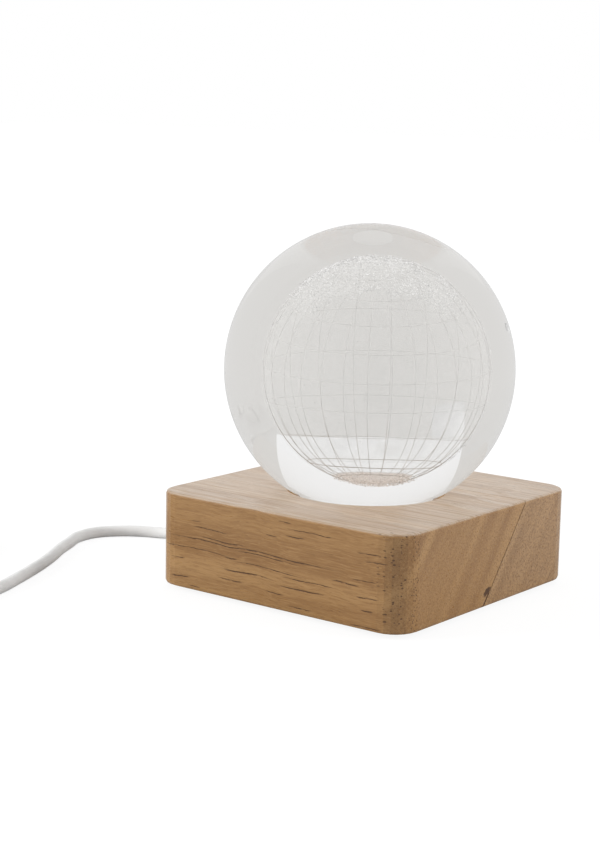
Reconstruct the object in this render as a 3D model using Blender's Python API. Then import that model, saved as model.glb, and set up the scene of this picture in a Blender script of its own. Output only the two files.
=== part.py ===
"""A crystal ball lamp: a glass ball on a square wooden base with a small light and a low-voltage lead.

Metres, +Z up. The origin is on the table, under the middle of the base. +X runs along the wood's grain.
The lead leaves the middle of the base's -X side.
"""

from math import acos, asin, atan2, cos, pi, radians, sin, sqrt

import bmesh
import bpy
from mathutils import Vector

# Clearances that every piece shares
TOUCH_GAP = 0.0003
GLUE_LINE = 0.0002
OVERRUN = 0.002
MERGE_DISTANCE = 0.000001

# Wooden base, glued from two staves on a leaning glue line
BASE_SIDE = 0.083
BASE_HEIGHT = 0.026
BASE_CORNER_RADIUS = 0.0075
BASE_EDGE_EASE = 0.0008
GLUE_OFFSET_AT_TOP = 0.0170
GLUE_OFFSET_AT_UNDERSIDE = -0.0032
FOOT_HEIGHT = 0.0012
FOOT_RADIUS = 0.004
FOOT_INSET = 0.0095
FOOT_EDGE_EASE = 0.0003

# Glass ball and the round seat that it rests in
BALL_RADIUS = 0.040
SEAT_RADIUS = 0.022
SEAT_EASE = 0.0005

# Globe engraved inside the ball: a raised grid of meridians and parallels, with sunk seas
GLOBE_RADIUS = 0.0206
GLOBE_LINE_WIDTH = 0.0006
GLOBE_LAND_DEPTH = 0.00025
GLOBE_SEA_DEPTH = 0.0008
GLOBE_STEM_RADIUS = 0.0010
GLOBE_STEM_RECESS = 0.0005
GLOBE_FRONT_AZIMUTH = radians(-54)
GLOBE_FRONT_LONGITUDE = radians(185)

# The globe's grid from the north pole down, each row eastwards from the date line. # is land
GLOBE_MAP = (
    ".....#####..............",
    "######.###..############",
    "...#####...###########..",
    "....###....#########....",
    "......###..####..###....",
    ".......###...##....#.#..",
    ".......##....#.....###..",
    ".......#...............#",
    ".......##.....########..",
    "########################",
)

# Light under the ball: diffuser, reflector and board, each on its own ledge
BALL_TO_DIFFUSER = 0.001
DIFFUSER_THICKNESS = 0.002
DIFFUSER_EDGE_EASE = 0.0003
DIFFUSER_LEDGE = 0.0035
REFLECTOR_WALL = 0.001
REFLECTOR_TAPER = 0.0037
BOARD_LEDGE = 0.0085
BOARD_PLAY = 0.002
BOARD_THICKNESS = 0.0016
POCKET_DEPTH = 0.0102
LED_SIDE = 0.005
LED_HEIGHT = 0.0014
LED_WINDOW_INSET = 0.0006
LED_WINDOW_DEPTH = 0.0003
LED_CIRCLE_RADIUS = 0.0075
LED_COUNT = 3
RESISTOR_LENGTH = 0.0032
RESISTOR_WIDTH = 0.0016
RESISTOR_HEIGHT = 0.0006
RESISTOR_OFFSET = 0.009

# Bottom cover, recessed into a rebate, and the screws
COVER_LEDGE = 0.005
COVER_THICKNESS = 0.002
COVER_EDGE_EASE = 0.0003
SCREW_SHANK_RADIUS = 0.001
SCREW_HEAD_RADIUS = 0.002
SCREW_HEAD_HEIGHT = 0.0012
SCREW_RECESS_DEPTH = 0.0007
SCREW_RECESS_WIDTH = 0.0005
SCREW_TIP_LENGTH = 0.001
COVER_SCREW_LENGTH = 0.0067
BOARD_SCREW_LENGTH = 0.0062
COVER_SCREW_COUNT = 4
BOARD_SCREW_COUNT = 2

# Lead, its strain relief in the base's side and its end inside the base
CORD_RADIUS = 0.0017
RELIEF_STEM_RADIUS = 0.003
RELIEF_FLANGE_RADIUS = 0.0046
RELIEF_FLANGE_THICKNESS = 0.0012
RELIEF_BOOT_LENGTH = 0.014
RELIEF_BOOT_WALL = 0.0014
RELIEF_TIP_WALL = 0.0006
RELIEF_GROOVES = 4
RELIEF_GROOVE_DEPTH = 0.0005
INNER_CORD_LENGTH = 0.0115
INNER_TIE_WIDTH = 0.0025
INNER_TIE_THICKNESS = 0.0007
INNER_TIE_HEAD = 0.003
INNER_TIE_SETBACK = 0.004
WIRE_RADIUS = 0.00055
WIRE_SPACING = 0.0016
SOLDER_SPACING = 0.008
SOLDER_DISTANCE = 0.0095

# In-line rocker switch
SWITCH_LENGTH = 0.040
SWITCH_WIDTH = 0.016
SWITCH_HEIGHT = 0.010
SWITCH_SHOULDER_LENGTH = 0.026
SWITCH_END_WIDTH = 0.0078
SWITCH_AXIS_HEIGHT = 0.0044
SWITCH_WALL = 0.0015
SWITCH_TOP_THICKNESS = 0.0036
SWITCH_CORNER_RADIUS = 0.002
SWITCH_EDGE_EASE = 0.0010
SWITCH_CAVITY_LENGTH = 0.018
SWITCH_SCREW_X = 0.0122
SWITCH_SCREW_Y = 0.0050
SWITCH_SCREW_LENGTH = 0.0066
SWITCH_SCREW_SHANK_RADIUS = 0.0008
SWITCH_SCREW_HEAD_RADIUS = 0.0016
ROCKER_RADIUS = 0.006
ROCKER_WIDTH = 0.007
ROCKER_PIVOT_DEPTH = 0.0022
ROCKER_CREST = 0.0008
ROCKER_DROP = 0.0018
ROCKER_PIN_RADIUS = 0.0008
ROCKER_PIN_LENGTH = 0.0015
ROCKER_TILT = radians(9)
TERMINAL_LENGTH = 0.003
TERMINAL_WIDTH = 0.005
TERMINAL_HEIGHT = 0.0018
CONTACT_THICKNESS = 0.0004
CONTACT_WIDTH = 0.003

# Plug on the lead's end: a four-contact low-voltage plug
PLUG_BODY_LENGTH = 0.016
PLUG_BODY_WIDTH = 0.0155
PLUG_BODY_HEIGHT = 0.008
PLUG_BODY_CORNER = 0.0022
PLUG_BODY_NOSE = 0.0008
PLUG_RELIEF_LENGTH = 0.008
PLUG_RELIEF_WALL = 0.0006
PLUG_RELIEF_FLARE = 0.0008
PLUG_RELIEF_GROOVES = 3
PLUG_SHELL_LENGTH = 0.012
PLUG_SHELL_WIDTH = 0.012
PLUG_SHELL_HEIGHT = 0.0045
PLUG_SHELL_WALL = 0.00035
PLUG_SHELL_CORNER = 0.0006
PLUG_WINDOW_LENGTH = 0.0025
PLUG_WINDOW_WIDTH = 0.002
PLUG_WINDOW_SPACING = 0.0055
PLUG_WINDOW_SETBACK = 0.0050
TONGUE_THICKNESS = 0.0019
TONGUE_SETBACK = 0.0008
PIN_WIDTH = 0.001
PIN_THICKNESS = 0.00025
PIN_LENGTH = 0.0074
PIN_COUNT = 4
PIN_SPACING = 0.0022

# Coil: the spare length, wound in two layers and held by a tie
COIL_TURNS_IN_LAYER = 4
COIL_MIDDLE_DIAMETER = 0.0391
COIL_TURN_GAP = 0.0006
COIL_POINTS_IN_TURN = 24
COIL_TIE_THICKNESS = 0.0005
COIL_TIE_WIDTH = 0.006
COIL_TIE_CORNER = 0.0012
COIL_TIE_TAB = 0.005

# Places on the table. The lead's routes are points chosen by hand
LAY_CLEARANCE = 0.00005
SWITCH_PLACE = (-0.1180, -0.1036)
COIL_CENTRE = (-0.1270, -0.0650)
PLUG_BACK_Y = -0.0425
LEAD_ROUTE = (
    (-0.0650, 0.0001, 0.00535),
    (-0.0692, 0.0004, 0.00350),
    (-0.0735, 0.0006, 0.00215),
    (-0.0780, 0.0000, 0.00175),
    (-0.0826, -0.0020, 0.00175),
    (-0.0882, -0.0064, 0.00175),
    (-0.0920, -0.0128, 0.00175),
    (-0.0918, -0.0206, 0.00175),
    (-0.0885, -0.0275, 0.00175),
    (-0.0852, -0.0345, 0.00175),
    (-0.0804, -0.0430, 0.00175),
    (-0.0762, -0.0515, 0.00175),
    (-0.0708, -0.0645, 0.00175),
    (-0.0668, -0.0755, 0.00175),
    (-0.0655, -0.0846, 0.00175),
    (-0.0684, -0.0933, 0.00175),
    (-0.0752, -0.0998, 0.00182),
    (-0.0840, -0.1028, 0.00258),
    (-0.0915, -0.1036, 0.00380),
)
RUN_ROUTE = (
    (-0.1448, -0.1024, 0.00412),
    (-0.1499, -0.0982, 0.00350),
    (-0.1529, -0.0920, 0.00292),
    (-0.1541, -0.0850, 0.00258),
    (-0.1543, -0.0770, 0.00250),
)
TAIL_ROUTE = (
    (-0.0560, 0.00605),
    (-0.0516, 0.00445),
)

# Fineness of the round pieces and of the lead
BALL_SEGMENTS = 48
BALL_RINGS = 24
BORE_SEGMENTS = 64
DISC_SEGMENTS = 48
ROUND_SEGMENTS = 20
SCREW_SEGMENTS = 16
CORNER_STEPS = 6
TUBE_STEP_DIAMETERS = 2
TUBE_RESOLUTION = 2
COIL_RESOLUTION = 1
SPLINE_SAMPLES = 40

# Levels and radii that follow from the sizes above
BASE_BOTTOM_Z = FOOT_HEIGHT
BASE_TOP_Z = BASE_BOTTOM_Z + BASE_HEIGHT
SEAT_MOUTH_RADIUS = SEAT_RADIUS + SEAT_EASE
BALL_Z = BASE_TOP_Z + sqrt((BALL_RADIUS + TOUCH_GAP) ** 2 - SEAT_MOUTH_RADIUS**2)
DIFFUSER_TOP_Z = BALL_Z - BALL_RADIUS - BALL_TO_DIFFUSER
DIFFUSER_BOTTOM_Z = DIFFUSER_TOP_Z - DIFFUSER_THICKNESS
LEDGE_Z = DIFFUSER_BOTTOM_Z - TOUCH_GAP
CHAMBER_RADIUS = SEAT_RADIUS - DIFFUSER_LEDGE
POCKET_RADIUS = CHAMBER_RADIUS + BOARD_LEDGE
REBATE_RADIUS = POCKET_RADIUS + COVER_LEDGE
BOARD_RADIUS = POCKET_RADIUS - BOARD_PLAY
POCKET_TOP_Z = BASE_BOTTOM_Z + POCKET_DEPTH
BOARD_TOP_Z = POCKET_TOP_Z - TOUCH_GAP
BOARD_BOTTOM_Z = BOARD_TOP_Z - BOARD_THICKNESS
COVER_BOTTOM_Z = BASE_BOTTOM_Z + TOUCH_GAP
COVER_TOP_Z = COVER_BOTTOM_Z + COVER_THICKNESS
REBATE_TOP_Z = COVER_TOP_Z + TOUCH_GAP
CORD_EXIT_Z = (COVER_TOP_Z + BOARD_BOTTOM_Z) / 2
CORD_FACE_X = -BASE_SIDE / 2
RELIEF_OUTER_X = CORD_FACE_X - TOUCH_GAP - RELIEF_FLANGE_THICKNESS
RELIEF_TIP_X = RELIEF_OUTER_X - RELIEF_BOOT_LENGTH
RELIEF_INNER_X = -REBATE_RADIUS - TOUCH_GAP
INNER_CORD_END_X = RELIEF_INNER_X + TOUCH_GAP + INNER_CORD_LENGTH
BOARD_SCREW_CIRCLE = (CHAMBER_RADIUS + BOARD_RADIUS) / 2
COVER_SCREW_CIRCLE = (POCKET_RADIUS + REBATE_RADIUS) / 2
COIL_PITCH = 2 * CORD_RADIUS + COIL_TURN_GAP
COIL_REVERSAL_TURNS = 0.5
COIL_INWARD_TURNS = COIL_TURNS_IN_LAYER - COIL_REVERSAL_TURNS / 2
COIL_RADIAL_REACH = COIL_PITCH * (COIL_INWARD_TURNS + COIL_REVERSAL_TURNS / 4)
COIL_OUTER_RADIUS = (COIL_MIDDLE_DIAMETER + COIL_RADIAL_REACH) / 2
COIL_INNER_RADIUS = COIL_OUTER_RADIUS - COIL_RADIAL_REACH
COIL_LOW_Z = COIL_TIE_THICKNESS + TOUCH_GAP + CORD_RADIUS
COIL_HIGH_Z = COIL_LOW_Z + COIL_PITCH
COIL_START_X = COIL_CENTRE[0] - COIL_OUTER_RADIUS
PLUG_AXIS_Z = PLUG_BODY_HEIGHT / 2
SWITCH_PARTING_Z = SWITCH_AXIS_HEIGHT
SWITCH_CEILING_Z = SWITCH_HEIGHT - SWITCH_TOP_THICKNESS
ROCKER_PIVOT_Z = SWITCH_HEIGHT - ROCKER_PIVOT_DEPTH
SWITCH_CORD_GRIP = (SWITCH_LENGTH - SWITCH_CAVITY_LENGTH) / 2

MATERIALS = {
    "wood": ((0.46, 0.28, 0.14), 0.55, 0.0),
    "wood_side": ((0.42, 0.26, 0.14), 0.58, 0.0),
    "crystal": ((0.93, 0.94, 0.94), 0.02, 0.0),
    "engraving": ((0.88, 0.88, 0.87), 0.60, 0.0),
    "frosted_plastic": ((0.90, 0.90, 0.88), 0.45, 0.0),
    "white_plastic": ((0.80, 0.80, 0.78), 0.40, 0.0),
    "board_white": ((0.72, 0.74, 0.72), 0.35, 0.0),
    "led_package": ((0.88, 0.82, 0.55), 0.35, 0.0),
    "resistor_body": ((0.03, 0.03, 0.03), 0.40, 0.0),
    "dark_plastic": ((0.05, 0.05, 0.05), 0.50, 0.0),
    "rubber": ((0.10, 0.10, 0.10), 0.80, 0.0),
    "steel": ((0.60, 0.60, 0.58), 0.30, 1.0),
    "brass": ((0.75, 0.56, 0.25), 0.30, 1.0),
    "gold_plate": ((0.90, 0.68, 0.30), 0.25, 1.0),
    "cord_white": ((0.68, 0.67, 0.66), 0.50, 0.0),
    "red_wire": ((0.55, 0.04, 0.03), 0.45, 0.0),
    "black_wire": ((0.02, 0.02, 0.02), 0.45, 0.0),
}


def clear_scene():
    for obj in list(bpy.data.objects):
        bpy.data.objects.remove(obj, do_unlink=True)


def material(name):
    if name in bpy.data.materials:
        return bpy.data.materials[name]
    colour, roughness, metallic = MATERIALS[name]
    made = bpy.data.materials.new(name)
    made.use_nodes = True
    shader = made.node_tree.nodes["Principled BSDF"]
    shader.inputs["Base Color"].default_value = (*colour, 1)
    shader.inputs["Roughness"].default_value = roughness
    shader.inputs["Metallic"].default_value = metallic
    if name == "crystal":
        shader.inputs["Transmission Weight"].default_value = 1
        shader.inputs["IOR"].default_value = 1.517
    return made


def empty(name, place=(0, 0, 0), turn_z=0.0, parent=None):
    made = bpy.data.objects.new(name, None)
    bpy.context.collection.objects.link(made)
    made.location = place
    made.rotation_euler = (0, 0, turn_z)
    made.parent = parent
    return made


def add(name, data, look, parent=None, place=(0, 0, 0), turn=(0, 0, 0)):
    """Links an object that shows this mesh or curve, smooth where it is round."""
    made = bpy.data.objects.new(name, data)
    bpy.context.collection.objects.link(made)
    made.location = place
    made.rotation_euler = turn
    made.parent = parent
    if not data.materials:
        data.materials.append(material(look))
    if isinstance(data, bpy.types.Mesh):
        data.shade_smooth()
        data.set_sharp_from_angle(angle=radians(35))
    return made


def helper(name, data, parent=None, place=(0, 0, 0), turn=(0, 0, 0)):
    """A cutter or a shape to join, which isn't a piece of its own."""
    made = bpy.data.objects.new(name, data)
    bpy.context.collection.objects.link(made)
    made.location = place
    made.rotation_euler = turn
    made.parent = parent
    made.hide_render = True
    made.display_type = "WIRE"
    return made


def boolean(obj, other, operation="DIFFERENCE"):
    step = obj.modifiers.new(other.name, "BOOLEAN")
    step.operation = operation
    step.solver = "EXACT"
    step.object = other


def finished(bm, name):
    bmesh.ops.recalc_face_normals(bm, faces=bm.faces)
    mesh = bpy.data.meshes.new(name)
    bm.to_mesh(mesh)
    bm.free()
    return mesh


def turned(name, profile, segments, closed=False):
    """A mesh turned about Z from (radius, height) points. A closed profile makes a ring."""
    bm = bmesh.new()
    points = [bm.verts.new((radius, 0, height)) for radius, height in profile]
    pairs = list(zip(points, points[1:]))
    if closed:
        pairs.append((points[-1], points[0]))
    edges = [bm.edges.new(pair) for pair in pairs]
    bmesh.ops.spin(
        bm,
        geom=points + edges,
        cent=(0, 0, 0),
        axis=(0, 0, 1),
        angle=2 * pi,
        steps=segments,
        use_merge=True,
    )
    bmesh.ops.remove_doubles(bm, verts=bm.verts, dist=MERGE_DISTANCE)
    return finished(bm, name)


def cylinder(name, radius, low, high, segments=SCREW_SEGMENTS):
    return turned(name, [(0, low), (radius, low), (radius, high), (0, high)], segments)


def eased_disc(name, radius, low, high, ease, segments):
    profile = [
        (0, low),
        (radius - ease, low),
        (radius, low + ease),
        (radius, high - ease),
        (radius - ease, high),
        (0, high),
    ]
    return turned(name, profile, segments)


def arc(centre, radius, start, end, steps):
    """Points along an arc in a plane, both ends included."""
    angles = [start + (end - start) * i / steps for i in range(steps + 1)]
    return [(centre[0] + radius * cos(a), centre[1] + radius * sin(a)) for a in angles]


def rounded_rectangle(width, depth, radius, steps=CORNER_STEPS):
    """The outline of a rectangle with round corners, about the origin, anticlockwise."""
    x, y = width / 2 - radius, depth / 2 - radius
    outline = []
    for quarter, corner in enumerate([(x, y), (-x, y), (-x, -y), (x, -y)]):
        outline += arc(corner, radius, quarter * pi / 2, (quarter + 1) * pi / 2, steps)
    return outline


def ease_rims(bm, low, high, ease, steps):
    """Rounds the outer edges that lie all at the height low or all at the height high."""
    rims = [
        edge
        for edge in bm.edges
        if any(
            all(abs(v.co.z - level) < MERGE_DISTANCE for v in edge.verts)
            for level in (low, high)
            if level is not None
        )
    ]
    bmesh.ops.bevel(
        bm, geom=rims, offset=ease, segments=steps, affect="EDGES", profile=0.5
    )


def prism(name, outline, low, high, ease=0.0, ease_low=True, ease_high=True, steps=2):
    """A solid with this outline in X and Y, between two heights, with eased rims."""
    bm = bmesh.new()
    floor = bm.faces.new([bm.verts.new((x, y, low)) for x, y in outline])
    raised = bmesh.ops.extrude_face_region(bm, geom=[floor])["geom"]
    tops = [item for item in raised if isinstance(item, bmesh.types.BMVert)]
    bmesh.ops.translate(bm, verts=tops, vec=(0, 0, high - low))
    if ease:
        ease_rims(bm, low if ease_low else None, high if ease_high else None, ease, steps)
    return finished(bm, name)


def box(name, length, width, low, high, ease=0.0):
    outline = [
        (-length / 2, -width / 2),
        (length / 2, -width / 2),
        (length / 2, width / 2),
        (-length / 2, width / 2),
    ]
    bm = bmesh.new()
    floor = bm.faces.new([bm.verts.new((x, y, low)) for x, y in outline])
    raised = bmesh.ops.extrude_face_region(bm, geom=[floor])["geom"]
    tops = [item for item in raised if isinstance(item, bmesh.types.BMVert)]
    bmesh.ops.translate(bm, verts=tops, vec=(0, 0, high - low))
    if ease:
        bmesh.ops.bevel(
            bm, geom=list(bm.edges), offset=ease, segments=1, affect="EDGES", profile=0.5
        )
    return finished(bm, name)


def loft(name, sections):
    """Joins sections of one point count with faces and closes both ends."""
    bm = bmesh.new()
    rings = [[bm.verts.new(point) for point in section] for section in sections]
    for ring, following in zip(rings, rings[1:]):
        count = len(ring)
        for i in range(count):
            j = (i + 1) % count
            bm.faces.new((ring[i], ring[j], following[j], following[i]))
    bm.faces.new(rings[0][::-1])
    bm.faces.new(rings[-1])
    return finished(bm, name)


def sleeve(name, outer, inner, start, end):
    """A tube along X between two outlines of one point count, each in Y and Z."""
    bm = bmesh.new()
    rings = [
        [bm.verts.new((x, y, z)) for y, z in outline]
        for outline, x in ((outer, start), (outer, end), (inner, end), (inner, start))
    ]
    for ring, following in zip(rings, rings[1:] + rings[:1]):
        count = len(ring)
        for i in range(count):
            j = (i + 1) % count
            bm.faces.new((ring[i], ring[j], following[j], following[i]))
    return finished(bm, name)


def tube(name, points, radius, look, resolution=TUBE_RESOLUTION):
    """A round tube along points in the world, with closed ends."""
    curve = bpy.data.curves.new(name, "CURVE")
    curve.dimensions = "3D"
    curve.bevel_depth = radius
    curve.bevel_resolution = resolution
    curve.use_fill_caps = True
    spline = curve.splines.new("POLY")
    spline.points.add(len(points) - 1)
    for target, point in zip(spline.points, points):
        target.co = (*point, 1)
    spline.use_smooth = True
    return add(name, curve, look)


def smooth_curve(points):
    """Many points along a smooth curve that passes through the given ones."""
    points = [Vector(point) for point in points]
    padded = [2 * points[0] - points[1], *points, 2 * points[-1] - points[-2]]
    dense = [points[0]]
    for a, b, c, d in zip(padded, padded[1:], padded[2:], padded[3:]):
        knots = [0.0]
        for first, second in ((a, b), (b, c), (c, d)):
            knots.append(knots[-1] + sqrt((second - first).length))
        for i in range(1, SPLINE_SAMPLES + 1):
            t = knots[1] + (knots[2] - knots[1]) * i / SPLINE_SAMPLES
            dense.append(blended(a, b, c, d, knots, t))
    return dense


def blended(a, b, c, d, knots, t):
    """One point of the curve between b and c, whose neighbours are a and d."""
    k0, k1, k2, k3 = knots
    ab = a.lerp(b, (t - k0) / (k1 - k0))
    bc = b.lerp(c, (t - k1) / (k2 - k1))
    cd = c.lerp(d, (t - k2) / (k3 - k2))
    near = ab.lerp(bc, (t - k0) / (k2 - k0))
    far = bc.lerp(cd, (t - k1) / (k3 - k1))
    return near.lerp(far, (t - k1) / (k2 - k1))


def length_of(points):
    return sum((b - a).length for a, b in zip(points, points[1:]))


def spaced(points, step):
    """Points at nearly this step along a dense line, both ends included."""
    total = length_of(points)
    count = max(2, round(total / step))
    wanted = [total * i / count for i in range(1, count)]
    picked, walked = [points[0]], 0.0
    for a, b in zip(points, points[1:]):
        span = (b - a).length
        while wanted and wanted[0] <= walked + span:
            picked.append(a.lerp(b, (wanted.pop(0) - walked) / span))
        walked += span
    return [*picked, points[-1]]


def laid(route):
    """The tube's own points: straight at both ends and smooth, at even steps, between them."""
    middle = smooth_curve(route)[SPLINE_SAMPLES:-SPLINE_SAMPLES]
    step = TUBE_STEP_DIAMETERS * 2 * CORD_RADIUS
    return [Vector(route[0]), *spaced(middle, step), Vector(route[-1])]


def screw_mesh(name, shank_radius, head_radius, length, sunk):
    """A cross-recess screw that points up, with the outer face of its head at height 0."""
    neck = SCREW_HEAD_HEIGHT
    rim = SCREW_HEAD_HEIGHT / 6
    shoulder = shank_radius if sunk else head_radius
    profile = [
        (0, 0),
        (head_radius - rim, 0),
        (head_radius, rim),
        (shoulder, neck),
        (shank_radius, neck),
        (shank_radius, length - SCREW_TIP_LENGTH),
        (0, length),
    ]
    if sunk:
        profile.pop(4)
    body = helper(name + "_blank", turned(name + "_blank", profile, SCREW_SEGMENTS))
    arm = head_radius - 2 * rim
    cross = helper(
        name + "_recess",
        box(name + "_recess", 2 * arm, SCREW_RECESS_WIDTH, -SCREW_RECESS_DEPTH, SCREW_RECESS_DEPTH),
    )
    other = helper(name + "_recess_across", cross.data, turn=(0, 0, pi / 2))
    boolean(body, cross)
    boolean(body, other)
    bpy.context.view_layer.update()
    graph = bpy.context.evaluated_depsgraph_get()
    mesh = bpy.data.meshes.new_from_object(body.evaluated_get(graph))
    mesh.name = name
    for used in (body, cross, other):
        bpy.data.objects.remove(used, do_unlink=True)
    return mesh


def around(count, radius, first=0.0):
    """Evenly spaced places on a circle, each with its angle."""
    angles = [first + 2 * pi * i / count for i in range(count)]
    return [(radius * cos(a), radius * sin(a), a) for a in angles]


def glue_offset(height):
    """Where the glue plane is along Y at a height above the base's underside."""
    rise = (GLUE_OFFSET_AT_TOP - GLUE_OFFSET_AT_UNDERSIDE) / BASE_HEIGHT
    return GLUE_OFFSET_AT_UNDERSIDE + rise * height


def stave_region(name, side):
    """The half of the block on one side of the glue plane: -1 is -Y and 1 is +Y."""
    reach = BASE_SIDE
    rise = (GLUE_OFFSET_AT_TOP - GLUE_OFFSET_AT_UNDERSIDE) / BASE_HEIGHT
    away = side * GLUE_LINE / 2 * sqrt(1 + rise**2)
    low, high = -OVERRUN, BASE_HEIGHT + OVERRUN
    corners = [
        (side * reach, low),
        (glue_offset(low) + away, low),
        (glue_offset(high) + away, high),
        (side * reach, high),
    ]
    sections = [
        [(x, y, BASE_BOTTOM_Z + z) for y, z in corners]
        for x in (-BASE_SIDE / 2 - OVERRUN, BASE_SIDE / 2 + OVERRUN)
    ]
    return helper(name, loft(name, sections))


def bore_profile():
    """The stepped hole through the block: seat, chamber, board pocket and cover rebate."""
    top = BASE_TOP_Z + OVERRUN
    bottom = BASE_BOTTOM_Z - OVERRUN
    return [
        (0, bottom),
        (REBATE_RADIUS, bottom),
        (REBATE_RADIUS, REBATE_TOP_Z),
        (POCKET_RADIUS, REBATE_TOP_Z),
        (POCKET_RADIUS, POCKET_TOP_Z),
        (CHAMBER_RADIUS, POCKET_TOP_Z),
        (CHAMBER_RADIUS, LEDGE_Z),
        (SEAT_RADIUS, LEDGE_Z),
        (SEAT_RADIUS, BASE_TOP_Z - SEAT_EASE),
        (SEAT_MOUTH_RADIUS + OVERRUN, BASE_TOP_Z + OVERRUN),
        (0, top),
    ]


def make_base(root):
    block = prism(
        "base_block",
        rounded_rectangle(BASE_SIDE, BASE_SIDE, BASE_CORNER_RADIUS),
        BASE_BOTTOM_Z,
        BASE_TOP_Z,
        BASE_EDGE_EASE,
    )
    cutters = [helper("bore", turned("bore", bore_profile(), BORE_SEGMENTS))]
    hole_radius = RELIEF_STEM_RADIUS + TOUCH_GAP
    hole_length = BASE_SIDE / 2 - POCKET_RADIUS + 2 * OVERRUN
    cord_hole = cylinder("cord_hole", hole_radius, 0, hole_length, ROUND_SEGMENTS)
    start = (CORD_FACE_X - OVERRUN, 0, CORD_EXIT_Z)
    cutters.append(helper("cord_hole", cord_hole, place=start, turn=(0, pi / 2, 0)))
    pilot_radius = SCREW_SHANK_RADIUS + TOUCH_GAP
    for i, (x, y, _) in enumerate(around(COVER_SCREW_COUNT, COVER_SCREW_CIRCLE, pi / 4), 1):
        top = COVER_BOTTOM_Z + COVER_SCREW_LENGTH + TOUCH_GAP
        pilot = cylinder("cover_pilot", pilot_radius, REBATE_TOP_Z - OVERRUN, top)
        cutters.append(helper(f"cover_pilot_{i}", pilot, place=(x, y, 0)))
    for i, (x, y, _) in enumerate(around(BOARD_SCREW_COUNT, BOARD_SCREW_CIRCLE, pi / 2), 1):
        top = BOARD_BOTTOM_Z - TOUCH_GAP - SCREW_HEAD_HEIGHT + BOARD_SCREW_LENGTH + TOUCH_GAP
        pilot = cylinder("board_pilot", pilot_radius, POCKET_TOP_Z - OVERRUN, top)
        cutters.append(helper(f"board_pilot_{i}", pilot, place=(x, y, 0)))
    for name, side, look in (("base_main_stave", -1, "wood"), ("base_side_stave", 1, "wood_side")):
        stave = add(name, block.copy(), look, root)
        boolean(stave, stave_region(name + "_region", side), "INTERSECT")
        for cutter in cutters:
            boolean(stave, cutter)


def make_feet(root):
    place = BASE_SIDE / 2 - FOOT_INSET
    foot = eased_disc("foot", FOOT_RADIUS, 0, FOOT_HEIGHT - TOUCH_GAP, FOOT_EDGE_EASE, ROUND_SEGMENTS)
    corners = [(1, 1), (-1, 1), (-1, -1), (1, -1)]
    for i, (x, y) in enumerate(corners, 1):
        add(f"foot_{i}", foot, "rubber", root, (x * place, y * place, 0))


def make_ball(root):
    """The glass ball. Its inner space opens at its foot, through a bore for the globe's stem."""
    holder = empty("ball_axis", (0, 0, BALL_Z), parent=root)
    bm = bmesh.new()
    bmesh.ops.create_uvsphere(
        bm, u_segments=BALL_SEGMENTS, v_segments=BALL_RINGS, radius=BALL_RADIUS
    )
    ball = add("crystal_ball", finished(bm, "crystal_ball"), "crystal", holder)
    turn = (0, 0, GLOBE_FRONT_AZIMUTH - GLOBE_FRONT_LONGITUDE)
    space = finished(globe_grid(GLOBE_RADIUS + TOUCH_GAP), "globe_space")
    boolean(ball, helper("globe_space", space, holder, turn=turn))
    bore_radius = GLOBE_STEM_RADIUS + TOUCH_GAP
    bore = cylinder("globe_bore", bore_radius, -BALL_RADIUS - OVERRUN, -GLOBE_RADIUS / 2)
    boolean(ball, helper("globe_bore", bore, holder))
    make_globe(holder, turn)


def globe_grid(radius):
    """A ball whose faces are the cells between the globe's meridians and parallels."""
    bm = bmesh.new()
    bmesh.ops.create_uvsphere(
        bm, u_segments=len(GLOBE_MAP[0]), v_segments=len(GLOBE_MAP), radius=radius
    )
    return bm


def is_land(cell):
    """Reads the map at a cell of the globe's grid, whose date line is at -X."""
    middle = cell.calc_center_median()
    down_share = acos(middle.z / middle.length) / pi
    east_share = atan2(middle.y, middle.x) / (2 * pi) + 1 / 2
    row = GLOBE_MAP[int(down_share * len(GLOBE_MAP))]
    return row[int(east_share * len(row))] == "#"


def make_globe(holder, turn):
    """The globe, whose grid stands over land and sea but not over the caps round its poles.

    It is on a stem that reaches down to the ball's foot.
    """
    bm = globe_grid(GLOBE_RADIUS)
    cells = [cell for cell in bm.faces if len(cell.verts) == 4]
    lands = [cell for cell in cells if is_land(cell)]
    seas = [cell for cell in cells if not is_land(cell)]
    for sunk, depth in ((lands, GLOBE_LAND_DEPTH), (seas, GLOBE_SEA_DEPTH)):
        bmesh.ops.inset_individual(
            bm, faces=sunk, thickness=GLOBE_LINE_WIDTH / 2, depth=-depth, use_even_offset=True
        )
    globe = add("engraved_globe", finished(bm, "engraved_globe"), "engraving", holder, turn=turn)
    stem_end = GLOBE_STEM_RECESS - BALL_RADIUS
    stem = cylinder("globe_stem", GLOBE_STEM_RADIUS, stem_end, -GLOBE_RADIUS / 2)
    boolean(globe, helper("globe_stem", stem, holder), "UNION")


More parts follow.
